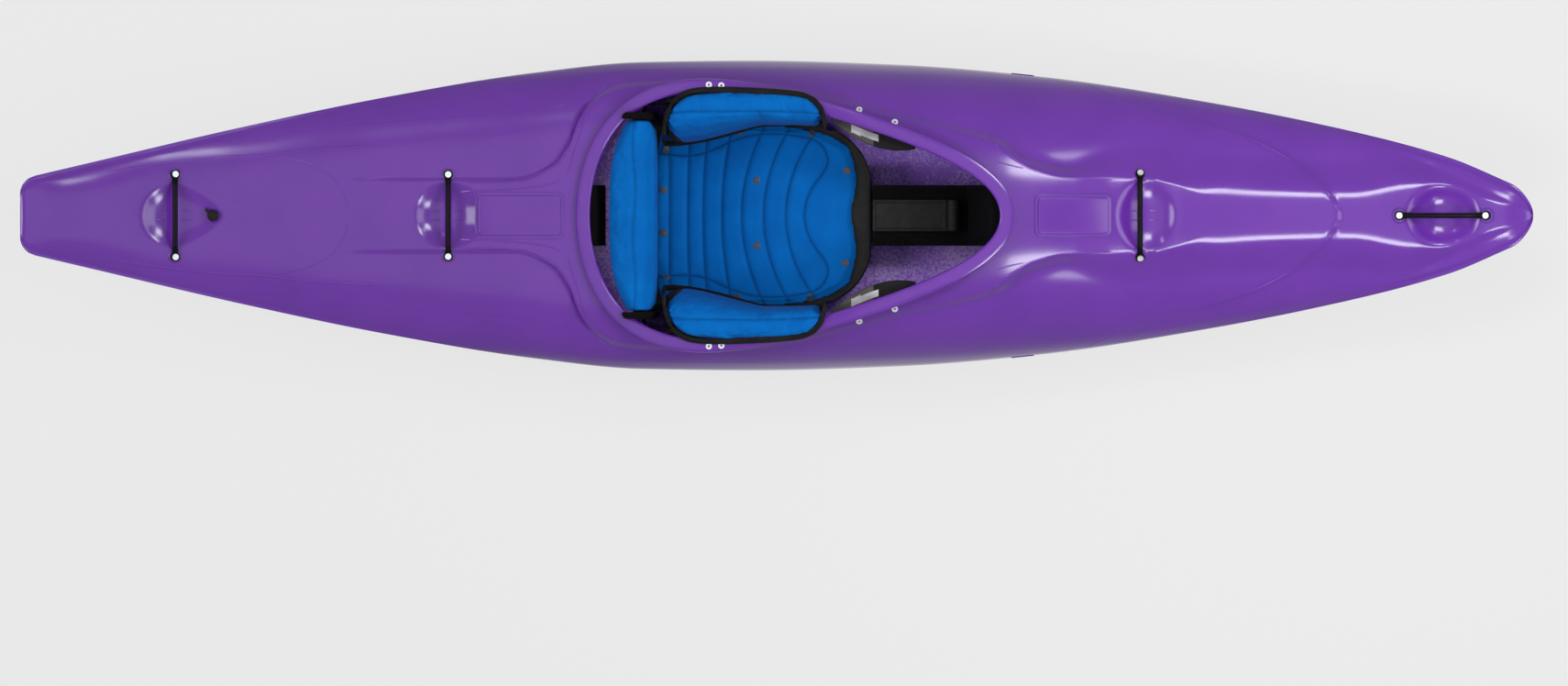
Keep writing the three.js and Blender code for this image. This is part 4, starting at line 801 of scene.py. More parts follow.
def roundedRectangle(halfX, halfY, corner, steps=7):
    points = []
    for i, (signX, signY) in enumerate(((1, 1), (-1, 1), (-1, -1), (1, -1))):
        for t in np.linspace(0, math.pi / 2, steps):
            turn = i * math.pi / 2 + t
            points.append((signX * (halfX - corner) + corner * math.cos(turn),
                           signY * (halfY - corner) + corner * math.sin(turn)))
    return points


def sideHalfWidth(x, z):
    section = sectionAt(x)
    chineZ = section["keel"] + section["chineRise"]
    w = np.clip((z - chineZ) / (section["gunwale"] - chineZ), 0, 1)
    return float(section["chine"] + (section["halfBeam"] - section["chine"]) * (1 - (1 - w) ** hull["sidePower"]))


def underHeight(section, y):
    # height of the hull's outside below a place in plan: the bottom, then the side up to the gunwale
    across = np.abs(y)
    lift = bottomLift(np.clip(across / np.maximum(section["chine"], 1e-6), 0, 1))
    out = np.clip((across - section["chine"]) / np.maximum(section["halfBeam"] - section["chine"], 1e-6), 0, 1)
    chineZ = section["keel"] + section["chineRise"]
    side = chineZ + (section["gunwale"] - chineZ) * (1 - (1 - out) ** (1 / hull["sidePower"]))
    return np.where(across < section["chine"], section["keel"] + section["chineRise"] * lift, side)


def drawInTips(shell):
    # in the thin ends the inner wall is held between the two outer ones
    inner = sorted({i for face in shell.data.polygons if face.material_index == 1 for i in face.vertices})
    points = np.array([shell.data.vertices[i].co for i in inner]) / mm
    reach = hull["length"] / 2 - hull["wall"]
    x = np.clip(points[:, 0], -reach, reach)
    section = sectionAt(x)
    edge = np.maximum(section["halfBeam"] - hull["wall"] * 1.6, section["halfBeam"] * 0.6)
    y = np.clip(points[:, 1], -edge, edge)
    top = deckHeight(section, y) + deckRelief(x, y)
    bottom = underHeight(section, y)
    room = np.maximum(0, (top - bottom) / 2 - hull["wall"])
    middle = (top + bottom) / 2
    held = np.stack([x, y, np.clip(points[:, 2], middle - room, middle + room)], axis=1)
    for i, point, place in zip(inner, points, held):
        if abs(point[0]) > hull["tipFrom"]:
            shell.data.vertices[i].co = Vector(place) * mm


def raisedPlate(name, place, lengthX, widthY, corner, high, sunk, edge):
    # a plate with round corners and a soft top edge, standing on the deck
    outline = roundedRectangle(lengthX / 2, widthY / 2, corner)
    plate = gridPiece(name, [[(x, y, z) for x, y in outline] for z in (-sunk, high)])
    roundEdges(plate, edge, 4)
    return putAt(plate, place)


deckPads = {
    "front": {"x": 617, "length": 149, "width": 76},
    "rear": {"x": -535, "length": 172, "width": 84},
    "rise": 5, "corner": 8, "border": 7, "borderRise": 1.4, "sunk": 3,
}
sides = (("right", -1), ("left", 1))
recess = {"x": 512, "z": 155, "length": 44, "height": 34, "corner": 8, "depth": 1.5, "wide": 2.2, "rise": 1.3}


def tubeAlong(name, points, ups, halfWide, halfThick, around):
    # an oval bar along points: each ring lies across the path, its width across the given up
    points = [Vector(p) for p in points]
    turns = np.linspace(0, 2 * math.pi, around, endpoint=False)
    rings = []
    for i, (point, wide, thick) in enumerate(zip(points, halfWide, halfThick)):
        ahead = (points[min(i + 1, len(points) - 1)] - points[max(i - 1, 0)]).normalized()
        side = ahead.cross(Vector(ups[i])).normalized()
        up = side.cross(ahead)
        rings.append([tuple(point + side * (wide * math.cos(a)) + up * (thick * math.sin(a))) for a in turns])
    return gridPiece(name, rings)


def smoothedPath(points, rounds=3):
    # corner cutting: each round replaces a corner by two points a quarter of the way along
    points = [np.array(p, float) for p in points]
    for _ in range(rounds):
        cut = [q for a, b in zip(points[:-1], points[1:]) for q in (a * 0.75 + b * 0.25, a * 0.25 + b * 0.75)]
        points = [points[0]] + cut + [points[-1]]
    return points


# thin raised lines moulded in the deck: half width, rise, and the points (x, y) of the left copy
beads = {
    "rearNacelle": (2.2, 1.1, [
        (-324, 279), (-372, 252), (-405, 229), (-425, 196), (-435, 139), (-464, 101), (-505, 84), (-542, 71),
        (-600, 68), (-653, 68)]),
    "rearInner": (1.8, 0.8, [
        (-352, 276), (-384, 244), (-398, 214), (-409, 170), (-424, 126), (-436, 82)]),
    "padRunner": (1.8, 1.0, [
        (-660, 47), (-655, 50), (-600, 52), (-530, 56), (-470, 64), (-448, 76)]),
    "frontNacelle": (2.2, 1.1, [
        (440, 166), (463.9, 143), (492, 117), (530.7, 96), (565, 86), (607, 79), (660, 76), (700, 75)]),
    "frontInner": (1.6, 0.8, [(460, 112), (486, 104), (514, 99)]),
    "sternStep": (2.4, 1.2, [
        (-1390, 92), (-1310, 104), (-1220, 116), (-1130, 124), (-1070, 124), (-1020, 132), (-940, 140), (-800, 146)]),
    "sternOval": (1.6, 0.6, [
        (-1060, 124), (-1000, 116), (-950, 98), (-915, 72), (-896, 36), (-892, 14)]),
    "sideRun": (1.8, 0.7, [(-910, 186), (-760, 196), (-600, 208), (-500, 216), (-430, 236)]),
    "bowArc": (1.6, 0.9, [
        (640, 275), (777, 219), (916, 189), (1038, 138), (1124, 78), (1161, 30), (1172, 6)]),
    "bowMark": (2.0, 1.0, [(1556, 16), (1562, 13), (1564, 9)]),
}
# short marks on the rims of the grip dishes, each by the place of its middle along X
dishMarks = {"half": 10, "wide": 1.6, "rise": 0.9, "places": [-1280, -1228, -710, -662, 742, 786]}


def deckBead(name, points, side, wide, rise):
    # a low raised line that lies on the deck and thins to nothing at both ends
    line = smoothedPath(points, 3)
    places, ups, thick, widths = [], [], [], []
    for i, (x, y) in enumerate(line):
        share = i / (len(line) - 1)
        fade = float(smoothStep(min(share, 1 - share), 0, 0.12)) * 0.95 + 0.05
        relief = float(deckRelief(np.array([x]), np.array([y]))[0])
        places.append(deckPoint(x, side * y) + Vector((0, 0, relief)))
        ups.append(deckNormal(x, side * y))
        thick.append(rise * fade)
        widths.append(wide * fade)
    return tubeAlong(name, places, ups, widths, thick, 8)


def makeHull():
    shell = gridPiece("hull", hullRings(hullStations()))

    # a prism cuts the opening's outline into the deck, and all that lies inside it is deleted
    turns = np.linspace(0, 2 * math.pi, cockpit["steps"], endpoint=False)
    outline = [tuple(openingPoint(turn, cockpit["riserWall"] / 2)) for turn in turns]
    cutInto(shell, gridPiece("openingCutter", [[(x, y, z) for x, y in outline] for z in (180, 460)]))
    reach = cockpit["length"] / 2 + cockpit["riserWall"]
    alongX, halfWidths = halfOutline(outline)

    def inOpening(x, y, z):
        return z > 179 and abs(x - cockpit["middle"]) < reach and abs(y) < np.interp(x, alongX, halfWidths) + 0.05
    deleteFaces(shell, inOpening)

    for material in (hullPlastic, innerPlastic):
        shell.data.materials.append(material)
    modify(shell, "SOLIDIFY", thickness=hull["wall"] * mm, offset=-1, use_rim=True, material_offset=1)
    drawInTips(shell)

    parts = [shell, gridPiece("coaming", coamingRings(), wrapAlong=True, fillEnds=False)]
    corner, sunk = deckPads["corner"], deckPads["sunk"]
    for name in ("front", "rear"):
        pad = deckPads[name]
        place = deckFrame(pad["x"], 0)
        for grow, rise, edge in ((deckPads["border"], deckPads["borderRise"], 1.2), (0, deckPads["rise"], 2)):
            size = pad["length"] + grow * 2, pad["width"] + grow * 2
            parts.append(raisedPlate("raisedPad", place, *size, corner + grow, rise, sunk, edge))
    foot, crest, deep = boss["foot"] * mm, boss["crest"] * mm, boss["deep"] * mm
    for loop in loops.values():
        for place in loopEnds(loop):
            cone = newPrimitive(bpy.ops.mesh.primitive_cone_add, vertices=48, radius1=foot, radius2=crest, depth=deep)
            roundEdges(cone, 0.8, angle_limit=0.5)
            parts.append(putAt(cone, place, boss["rise"] - boss["deep"] / 2))
    for _, side in sides:
        # the moulded frame of a rounded square round the foot brace's bolt
        ring = roundedRectangle(recess["length"] / 2, recess["height"] / 2, recess["corner"])
        ring = [(recess["x"] + x, recess["z"] + z) for x, z in ring]
        places = [(x, side * sideHalfWidth(x, z), z) for x, z in ring + ring[:1]]
        count = len(places)
        parts.append(tubeAlong("boltFrame", places, [(0, side, 0)] * count, [recess["wide"]] * count,
                               [recess["rise"]] * count, 10))
        for name, (wide, rise, points) in beads.items():
            parts.append(deckBead(name, points, side, wide, rise))
        for x in dishMarks["places"]:
            points = [(x - dishMarks["half"], 9), (x, 10), (x + dishMarks["half"], 9)]
            parts.append(deckBead("dishMark", points, side, dishMarks["wide"], dishMarks["rise"]))
    for part in parts[1:]:
        part.data.materials.clear()
        part.data.materials.append(hullPlastic)
    shell = joinAll(parts, "hull")
    smoothBy(shell, 32)
    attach(shell, "hull")
    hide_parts("hull_shell")
    print("faces of the hull:", len(shell.data.polygons))


makeHull()

print("stage: grab loops and bolts")


def makeBoltHead():
    # a button head with a rounded crown and a six-sided socket, standing on the plane z = 0
    top = bolt["height"] * mm
    head = newPrimitive(bpy.ops.mesh.primitive_cylinder_add, vertices=28, radius=bolt["head"] / 2 * mm, depth=top,
                        location=(0, 0, top / 2))
    for face in head.data.polygons:
        face.select = face.center.z > top - 1e-5
    for edge in head.data.edges:
        edge.select = all(head.data.vertices[i].co.z > top - 1e-5 for i in edge.vertices)
    bpy.ops.object.mode_set(mode="EDIT")
    bpy.ops.mesh.bevel(offset=(bolt["height"] - bolt["rim"]) * mm, segments=6, profile=0.5, affect="EDGES")
    bpy.ops.object.mode_set(mode="OBJECT")
    corner = bolt["socket"] / 2 / math.cos(math.pi / 6)
    deep = bolt["head"] * mm
    socket = newPrimitive(bpy.ops.mesh.primitive_cylinder_add, vertices=6, radius=corner * mm, depth=deep,
                          location=(0, 0, top - bolt["socketDepth"] * mm + deep / 2))
    modify(head, "BOOLEAN", object=socket, operation="DIFFERENCE", solver="EXACT")
    bpy.data.objects.remove(socket)
    return head


boltModel = makeBoltHead()
boltModel.name = "boltModel"


def copyBolt(node, place, lift, shank):
    # a bolt with its own mesh: the modelled head, and a shank of its own length
    piece = boltModel.copy()
    piece.data = boltModel.data.copy()
    bpy.context.scene.collection.objects.link(piece)
    bar = newPrimitive(bpy.ops.mesh.primitive_cylinder_add, vertices=16, radius=bolt["shank"] / 2 * mm,
                       depth=shank * mm, location=(0, 0, (bolt["overlap"] - shank / 2) * mm))
    name = node.replace("_", " ").title().replace(" ", "")
    piece = putAt(joinAll([piece, bar], name), place, lift)
    finishPiece(piece, name, steel, "hull", node, "bolt_steel")


def makeLoop(name, loop):
    # the bar dips from each eyelet's top to its middle, as a strap in a vinyl sleeve
    ends = loopEnds(loop)
    base = boss["rise"] + bolt["washer"]
    middle = base + loopBar["eyeletThick"] / 2
    first, last = [place @ Vector((0, 0, middle)) for place in ends]
    across = last - first
    crest = deckPoint(loop["x"], 0).z + loop["rise"] - (first.z + last.z) / 2
    points, ups, wide, thick = [], [], [], []
    for i in range(loopBar["steps"] + 1):
        share = 0.02 + 0.96 * i / loopBar["steps"]
        lift = crest * math.sin(math.pi * share) ** 0.4 * float(smoothStep(min(share, 1 - share), 0.02, 0.12))
        points.append(first + across * share + Vector((0, 0, lift)))
        ups.append((0, 0, 1))
        near = 1 - float(smoothStep(min(share, 1 - share), 0.03, 0.13))
        wide.append(loopBar["width"] / 2 * (1 + 0.25 * near))
        thick.append(loopBar["thick"] / 2 * (1 - 0.42 * near))
    parts = [tubeAlong(name, points, ups, wide, thick, loopBar["around"])]
    for place in ends:
        eyelet = newPrimitive(bpy.ops.mesh.primitive_cylinder_add, vertices=40, radius=loopBar["eyelet"] / 2 * mm,
                              depth=loopBar["eyeletThick"] * mm)
        roundEdges(eyelet, 1.8, 4)
        parts.append(putAt(eyelet, place, middle))
    finishPiece(joinAll(parts, name), name + "GrabLoop", vinyl, "hull", name + "_loop", "strap")
    top = base + loopBar["eyeletThick"] + bolt["washer"]
    for place, end in zip(ends, loop["ends"]):
        copyBolt(f"{name}_loop_bolt_{end}", place, top, bolt["loopShank"])


for loopName, loopSettings in loops.items():
    makeLoop(loopName, loopSettings)

sideBolts = {
    "rim": {"x": -128, "pitch": 26, "offset": 17, "shank": 52, "sunk": 0.5},
    "brace": {"x": 209.01, "pitch": 74, "offset": 35, "shank": 20, "sunk": 0.5},
    "foot": {"railY": 212, "lift": 0.3},
}


def makeSideBolts(sideName, side):
    for placeName, step in (("rear", -1), ("front", 1)):
        for kind in ("rim", "brace"):
            row = sideBolts[kind]
            x = row["x"] + step * row["pitch"] / 2
            y = side * (float(openingHalfWidth(x)) + row["offset"])
            if kind == "rim":
                slope = float(rimHeight(x + 5) - rimHeight(x - 5)) / 10
                place = frameAt((x, y, float(rimHeight(x))), (-slope, 0, 1))
            else:
                place = deckFrame(x, y)
            copyBolt(f"{kind}_bolt_{sideName}_{placeName}", place, -row["sunk"], row["shank"])
    headY = sideHalfWidth(recess["x"], recess["z"]) - recess["depth"]
    place = frameAt((recess["x"], side * headY, recess["z"]), (0, side, 0))
    copyBolt(f"foot_bolt_{sideName}", place, sideBolts["foot"]["lift"], headY - sideBolts["foot"]["railY"])


for sideName, side in sides:
    makeSideBolts(sideName, side)
bpy.data.objects.remove(boltModel)

print("stage: drain plug")
drain = {
    "x": -1174, "lift": 1.1, "flange": 24, "flangeHigh": 2.5, "bore": 14, "sleeve": 19, "deep": 16,
    "head": 20, "headHigh": 5, "seal": 2.2, "thread": 12.5, "shank": 17,
}


def turned(name, outline, steps=40, closed=True):
    # an outline of [radius, height] spun round the Z axis, closed on itself or ending on the axis
    turns = np.linspace(0, 2 * math.pi, steps, endpoint=False)
    rings = [[(r * math.cos(t), r * math.sin(t), z) for t in turns] for r, z in outline]
    return gridPiece(name, rings, wrapAlong=closed, fillEnds=False)


def makeDrain():
    place = deckFrame(drain["x"], 0)
    flange, bore, sleeve = drain["flange"] / 2, drain["bore"] / 2, drain["sleeve"] / 2
    seat = turned("drainSeat", roundedProfile([
        [bore, -drain["deep"], 0.3], [sleeve, -drain["deep"], 0.5], [sleeve, 0, 0.3], [flange, 0, 0.3],
        [flange, drain["flangeHigh"], 1.2], [bore, drain["flangeHigh"], 0.4],
    ]))
    # the small lug that the plug is lifted by lies beside the flange
    lug = gridPiece("drainLug", [[(x, y, z) for x, y in roundedRectangle(6.5, 3.6, 3.4)] for z in (0, 2.2)])
    roundEdges(lug, 0.7)
    putAt(lug, Matrix.Rotation(math.radians(140), 4, "Z") @ Matrix.Translation((flange + 2.5, 0, 0)))
    seat = putAt(joinAll([seat, lug], "drainSeat"), place, drain["lift"])
    finishPiece(seat, "drainSeat", rubber, "hull", "drain_seat", "plug_rubber")

    thick = drain["seal"] / 2
    middle = (bore + drain["head"] / 2 - 0.5) / 2
    ring = [(middle + thick * math.cos(t), drain["flangeHigh"] + thick + thick * math.sin(t))
            for t in np.linspace(0, 2 * math.pi, 14, endpoint=False)]
    seal = putAt(turned("drainSeal", ring), place, drain["lift"] + 0.3)
    finishPiece(seal, "drainSeal", rubber, "plug", "drain_seal", "plug_rubber")

    top = drain["flangeHigh"] + drain["seal"]
    head, thread = drain["head"] / 2, drain["thread"] / 2
    profile = [(0.0005, top - drain["shank"]), (thread - 0.8, top - drain["shank"])]
    for i in range(5):
        z = top - drain["shank"] + 1.2 + i * 3
        profile += [(thread - 0.8, z), (thread, z + 0.9), (thread, z + 1.3), (thread - 0.8, z + 2.2)]
    high = top + drain["headHigh"]
    profile += [(thread, top), (head - 0.4, top), (head, top + 0.4), (head, high - 1.6), (head - 0.5, high - 0.5),
                (head - 1.8, high), (head * 0.8, high - 0.2), (head * 0.72, high - 1.2), (0.0005, high - 1.2)]
    plug = turned("drainPlug", profile, 48, closed=False)
    grip = gridPiece("plugGrip", [[(x, y, z) for x, y in roundedRectangle(8, 2, 1.9)]
                                  for z in (top + 1, high + 2.4)])
    roundEdges(grip, 0.8)
    plug = putAt(joinAll([plug, grip], "drainPlug"), place, drain["lift"] + 0.6)
    finishPiece(plug, "drainPlug", rubber, "plug", "drain_plug", "plug_rubber")


makeDrain()

print("stage: seat cover")
seat = {
    "rear": -262, "front": 192, "halfWidth": 200, "nose": 60, "rearHeight": 46, "frontHeight": 92,
    "sideRise": 62, "slopePower": 1.6, "sidePower": 3.5,
}
cover = {
    "rear": -258, "front": 173, "margin": 6, "thick": 13, "gap": 1.5, "groove": 4, "grooveWide": 5.5,
    "frontCorner": 18, "rearCorner": 22, "edgeRound": 10,
    "notch": 13, "notchWide": 38, "voxel": 5, "pressure": 3, "cap": 5,
    "lines": [(-223, 0), (-185, 6), (-153, 12), (-114, 24), (-73, 52), (-27, 61), (19, 76)],
    "loop": [
        (-246, 128), (-181, 122), (-136, 134), (-84, 160), (-21, 172), (44, 166), (90, 155), (109, 122),
        (103, 95), (76, 63), (61, 31), (57, 0),
    ],
    "snaps": [
        (-230, 137), (-236, 53), (-236, -36), (-230, -128), (-76, 175), (73, 171), (146, 94), (143, -99),
        (-84, -170), (70, -171), (-42, 73), (-41, -63),
    ],
    "snapRadius": 8,
}


def seatOutlineAt(x):
    u = np.clip((x - seat["rear"]) / (seat["front"] - seat["rear"]), 0, 1)
    return seat["nose"] + (seat["halfWidth"] - seat["nose"]) * np.sqrt(1 - u ** 6)


def seatTop(x, y):
    # top face of the seat pan
    u = np.clip((x - seat["rear"]) / (seat["front"] - seat["rear"]), 0, 1)
    middle = seat["rearHeight"] + (seat["frontHeight"] - seat["rearHeight"]) * u ** seat["slopePower"]
    return middle + seat["sideRise"] * (1 - u / 2) * np.abs(y / seat["halfWidth"]) ** seat["sidePower"]


def distanceToPath(x, y, path):
    # shortest distance from each place to a chain of straight pieces
    best = np.full(np.shape(x), 1e9)
    for (ax, ay), (bx, by) in zip(path[:-1], path[1:]):
        dx, dy = bx - ax, by - ay
        t = np.clip(((x - ax) * dx + (y - ay) * dy) / max(dx * dx + dy * dy, 1e-9), 0, 1)
        best = np.minimum(best, np.hypot(x - ax - t * dx, y - ay - t * dy))
    return best


def meshPoints(piece):
    points = np.empty(len(piece.data.vertices) * 3)
    piece.data.vertices.foreach_get("co", points)
    return points.reshape(-1, 3) / mm


def setMeshPoints(piece, points):
    piece.data.vertices.foreach_set("co", (np.asarray(points) * mm).reshape(-1))
    piece.data.update()


def puff(piece, voxel, pressure, cap, frames=20):
    # even small faces, then a short cloth run under air pressure; no point moves further than the cap
    modify(piece, "REMESH", mode="VOXEL", voxel_size=voxel * mm)
    start = meshPoints(piece)
    makeActive(piece)
    bpy.ops.object.modifier_add(type="CLOTH")
    cloth = piece.modifiers[-1]
    cloth.settings.use_pressure = True
    cloth.settings.uniform_pressure_force = pressure
    cloth.settings.effector_weights.gravity = 0
    cloth.point_cache.frame_start = 1
    cloth.point_cache.frame_end = frames
    for step in range(1, frames + 1):
        bpy.context.scene.frame_set(step)
    bpy.ops.object.modifier_apply(modifier=cloth.name)
    bpy.context.scene.frame_set(1)
    moved = meshPoints(piece) - start
    far = np.linalg.norm(moved, axis=1, keepdims=True)
    setMeshPoints(piece, start + moved * np.minimum(1, cap / np.maximum(far, 1e-9)))
    print("puffed", piece.name, "by up to", round(float(far.max()), 1))
    modify(piece, "SUBSURF", levels=1, render_levels=1)
    return piece


def seamDepth(near, wide):
    return np.exp(-(near / wide) ** 1.5)


def markStitchesAndPaintedShade(piece, amount):
    # the cloth's material darkens where the piece's own stitch attribute is high: thread in the seams, and painted
    # shade in their grooves
    layer = piece.data.attributes.new("stitchAndPaintedShade", "FLOAT", "POINT")
    layer.data.foreach_set("value", np.clip(amount, 0, 1))


def coverSeams():
    loop = smoothedPath(cover["loop"])
    paths = [loop + [np.array((q[0], -q[1])) for q in reversed(loop)]]
    for at, sweep in cover["lines"]:
        paths.append([(at + sweep * (v / 193) ** 2, v) for v in range(-200, 201, 10)])
    return paths


def makeSeatCover():
    v = np.linspace(-1, 1, 61)[None, :]
    u = np.linspace(0, 1, 61)[:, None]
    notch = cover["notch"] * np.exp(-(v * 130 / cover["notchWide"]) ** 2)
    front = cover["front"] - notch - cover["frontCorner"] * np.abs(v) ** 6
    rear = cover["rear"] + cover["rearCorner"] * np.abs(v) ** 6
    x = rear + (front - rear) * u
    half = np.minimum(seatOutlineAt(x), seat["halfWidth"]) - cover["margin"]
    y = v * half
    base = seatTop(x, y) + cover["gap"]
    fromEnd = np.minimum(x - rear, front - x)
    inwards = np.clip(np.minimum(fromEnd, (1 - np.abs(v)) * half) / cover["edgeRound"], 0, 1)
    top = base + 3 + (cover["thick"] - 6) * np.sqrt(1 - (1 - inwards) ** 2)
    upper = np.stack([x, y, top], axis=2)
    lower = np.stack([x, y, base], axis=2)[:, ::-4]
    piece = gridPiece("seatCover", np.concatenate([upper, lower], axis=1))
    puff(piece, cover["voxel"], cover["pressure"], cover["cap"])

    # the sewn lines pull the top down to the pan, and the underside lies on it
    points = meshPoints(piece)
    floor = seatTop(points[:, 0], points[:, 1]) + cover["gap"] * 0.4
    near = np.full(len(points), 1e9)
    for path in coverSeams():
        near = np.minimum(near, distanceToPath(points[:, 0], points[:, 1], path))
    height = points[:, 2] - floor
    onTop = smoothStep(height, 3, 7)
    points[:, 2] -= cover["groove"] * seamDepth(near, cover["grooveWide"]) * onTop
    points[:, 2] = np.maximum(points[:, 2], floor)
    setMeshPoints(piece, points)
    # the seams are darkened in the colour: their thread, and painted shade in the groove
    markStitchesAndPaintedShade(piece, seamDepth(near, 2.4) * onTop)
    finishPiece(piece, "seatCover", blueCloth, "hull", "seat_cover", "cloth", 80)
    return piece


def heightOn(piece, x, y):
    # height of a piece's top face, in millimetres, under a place in plan
    hit, point, _, _ = piece.ray_cast(Vector((x, y, 900)) * mm, Vector((0, 0, -1)))
    return point.z / mm if hit else 0.0


def makeSnaps(seatPiece):
    radius = cover["snapRadius"]
    # a flat ring with a round knob in its middle
    outline = [(0.0005, 0), (radius - 0.6, 0), (radius, 0.6), (radius, 1.4), (radius - 1, 2.2), (radius * 0.7, 2.2),
               (radius * 0.6, 1.2), (radius * 0.5, 1.1), (radius * 0.42, 2.4), (radius * 0.2, 2.9), (0.0005, 3)]
    snaps = []
    for x, y in cover["snaps"]:
        lowest = heightOn(seatPiece, x, y)
        lift = [heightOn(seatPiece, x + dx, y + dy) or lowest for dx, dy in ((-5, 0), (5, 0), (0, -5), (0, 5))]
        up = Vector((lift[0] - lift[1], lift[2] - lift[3], 10))
        snaps.append(putAt(turned("snap", outline, 28, closed=False), frameAt((x, y, lowest - 1.2), up)))
    finishPiece(joinAll(snaps, "coverSnaps"), "coverSnaps", made["acetalPressStud"], "hull", None, "moulding")


makeSnaps(makeSeatCover())

print("stage: hip pads")
hipPads = {
    "back": 13, "rise": 24, "wing": 236, "bindingWide": 6.5, "bindingThick": 3.6,
    "voxel": 5, "pressure": 5, "cap": 6, "shrink": 4, "least": 18, "endRound": 40, "foot": 44,
    # plan outline of the pad's rim side, from its rear end to its front end
    "outline": [
        (-235, 172), (-233, 196), (-226, 220), (-212, 243), (-184, 259), (-136, 263), (-52, 261), (40, 255),
        (72, 246), (90, 228), (98, 206), (100, 190),
    ],
    "innerEdge": [(-235, 152), (-214, 150), (-162, 157), (-110, 170), (-77, 179), (-32, 190), (40, 190), (100, 187)],
    "gusset": [(-196, 154), (-222, 178), (-232, 204), (-246, 206)],
    "fold": [(-222, 214), (-180, 216), (-80, 217), (20, 216), (88, 212)],
}


def hipSection(x, shrink):
    # the pad's section at a place along X: up its inner face, over the rim, and back down behind
    outline = np.array(hipPads["outline"])
    limit = float(np.interp(x, outline[:, 0], outline[:, 1])) - shrink
    edge = np.array(hipPads["innerEdge"])
    inner = min(float(np.interp(x, edge[:, 0], edge[:, 1])) + shrink, limit - hipPads["least"])
    wall = max(min(hipPads["wing"], float(openingHalfWidth(x)) - 8) - hipPads["back"], inner + hipPads["least"])
    rimSide = float(openingHalfWidth(x)) - 3
    ends = float(np.clip(min(x - outline[0, 0] + 1, outline[-1, 0] + 1 - x) / hipPads["endRound"], 0, 1))
    ends = math.sqrt(1 - (1 - ends) ** 2)
    rim = float(rimHeight(x))
    bottom = float(seatTop(x, 158)) + hipPads["foot"] + shrink + 30 * (1 - ends)
    crown = rim + hipPads["rise"] * (0.35 + 0.65 * ends) - shrink
    width = wall - inner
    front = [
        (inner + 16, bottom - 4), (inner + 4, bottom + 4), (inner, (bottom + rim) * 0.45),
        (inner + width * 0.2, rim - 42), (inner + width * 0.5, rim - 4), (inner + width * 0.8, crown - 3),
        (max(wall + 4, rimSide - 8), crown), (limit - 7, crown - 3), (limit, rim + 10),
    ]
    shelf = float(deckHeight(sectionAt(x), rimSide)) + 3
    back = [
        (limit - 3, rim + 4), (rimSide - 1, rim + 4), (rimSide - 2, shelf + 6),
        (rimSide - 6, shelf + 3), (wall, shelf), (wall, (bottom + rim) / 2), (inner + 36, bottom + 8),
    ]
    return [(x, min(y, limit), z) for y, z in front + back]


def hipTop(x, y):
    # height of the pad's rim side edge at a place on its outline
    section = hipSection(x, 0)[:9]
    ys = [q[1] for q in section]
    return float(np.interp(y, np.maximum.accumulate(ys), [q[2] for q in section]))


def makeHipPad(sideName, side):
    name = "hipPad" + sideName.title()
    shrink = hipPads["shrink"]
    places = np.concatenate([[-235 + shrink, -232 + shrink], np.linspace(-226, 92, 30), [97 - shrink, 100 - shrink]])
    rings = [[(x, side * y, z) for x, y, z in hipSection(place, shrink)] for place in places]
    piece = gridPiece(name, rings)
    puff(piece, hipPads["voxel"], hipPads["pressure"], hipPads["cap"])

    # the stitched fold, and small puckers that run out from it
    points = meshPoints(piece)
    fold = [(x, side * y) for x, y in hipPads["fold"]]
    near = distanceToPath(points[:, 0], points[:, 1], fold)
    high = smoothStep(points[:, 2], 225, 262)
    pucker = np.sin(points[:, 0] / 5.3) * np.sin(points[:, 0] / 13 + 1.7)
    points[:, 2] -= (2.6 * seamDepth(near, 4) + 0.9 * pucker * np.exp(-near / 14)) * high
    setMeshPoints(piece, points)
    # the fold's seam is darkened in the colour: its thread, and painted shade in the groove
    markStitchesAndPaintedShade(piece, 0.8 * seamDepth(near, 2.4) * high)
    finishPiece(piece, name, foldedCloth, "hull", "hip_pad_" + sideName, "cloth", 80)
    # its rear inner corner is a black gusset
    piece.data.materials.append(binding)
    gussetX, gussetY = zip(*hipPads["gusset"])
    for face in piece.data.polygons:
        face.material_index = int(face.center.x / mm < np.interp(side * face.center.y / mm, gussetY, gussetX))

    # binding tape sewn round the edge: along the rim side, down both ends and back along the foot
    path = [(x, y, hipTop(x, y) - 5) for x, y in smoothedPath(hipPads["outline"], 2)]
    foot = [(x, y - 1 + 3 * float(smoothStep(x, -90, -20)), float(seatTop(x, 158)) + 50)
            for x, y in reversed(smoothedPath(hipPads["innerEdge"], 2))]
    quarters = (0.25, 0.5, 0.75)
    (frontX, frontY, frontZ), (rearX, rearY, rearZ) = path[-1], path[0]
    down = [(frontX + 1, frontY - 4 * t, frontZ + (foot[0][2] - frontZ) * t) for t in quarters]
    up = [(rearX - 1, rearY - 6 * (1 - t), foot[-1][2] + (rearZ - foot[-1][2]) * t) for t in quarters]
    loop = [Vector((x, side * y, z)) for x, y, z in smoothedPath(path + down + foot + up + [path[0]], 2)][:-1]
    centre = Vector((-68, side * 206, 220))
    rings = []
    for i, here in enumerate(loop):
        ahead = (loop[(i + 1) % len(loop)] - loop[i - 1]).normalized()
        out = here - centre
        out = (out - ahead * out.dot(ahead)).normalized()
        flat = ahead.cross(out) * hipPads["bindingWide"]
        out = out * hipPads["bindingThick"]
        rings.append([tuple(here + flat * math.cos(t) + out * math.sin(t))
                      for t in np.linspace(0, 2 * math.pi, 12, endpoint=False)])
    tape = gridPiece("hipBinding", rings, wrapAlong=True, fillEnds=False)
    finishPiece(tape, name + "Binding", binding, "hull", None, "cloth", 60)


for sideName, side in sides:
    makeHipPad(sideName, side)

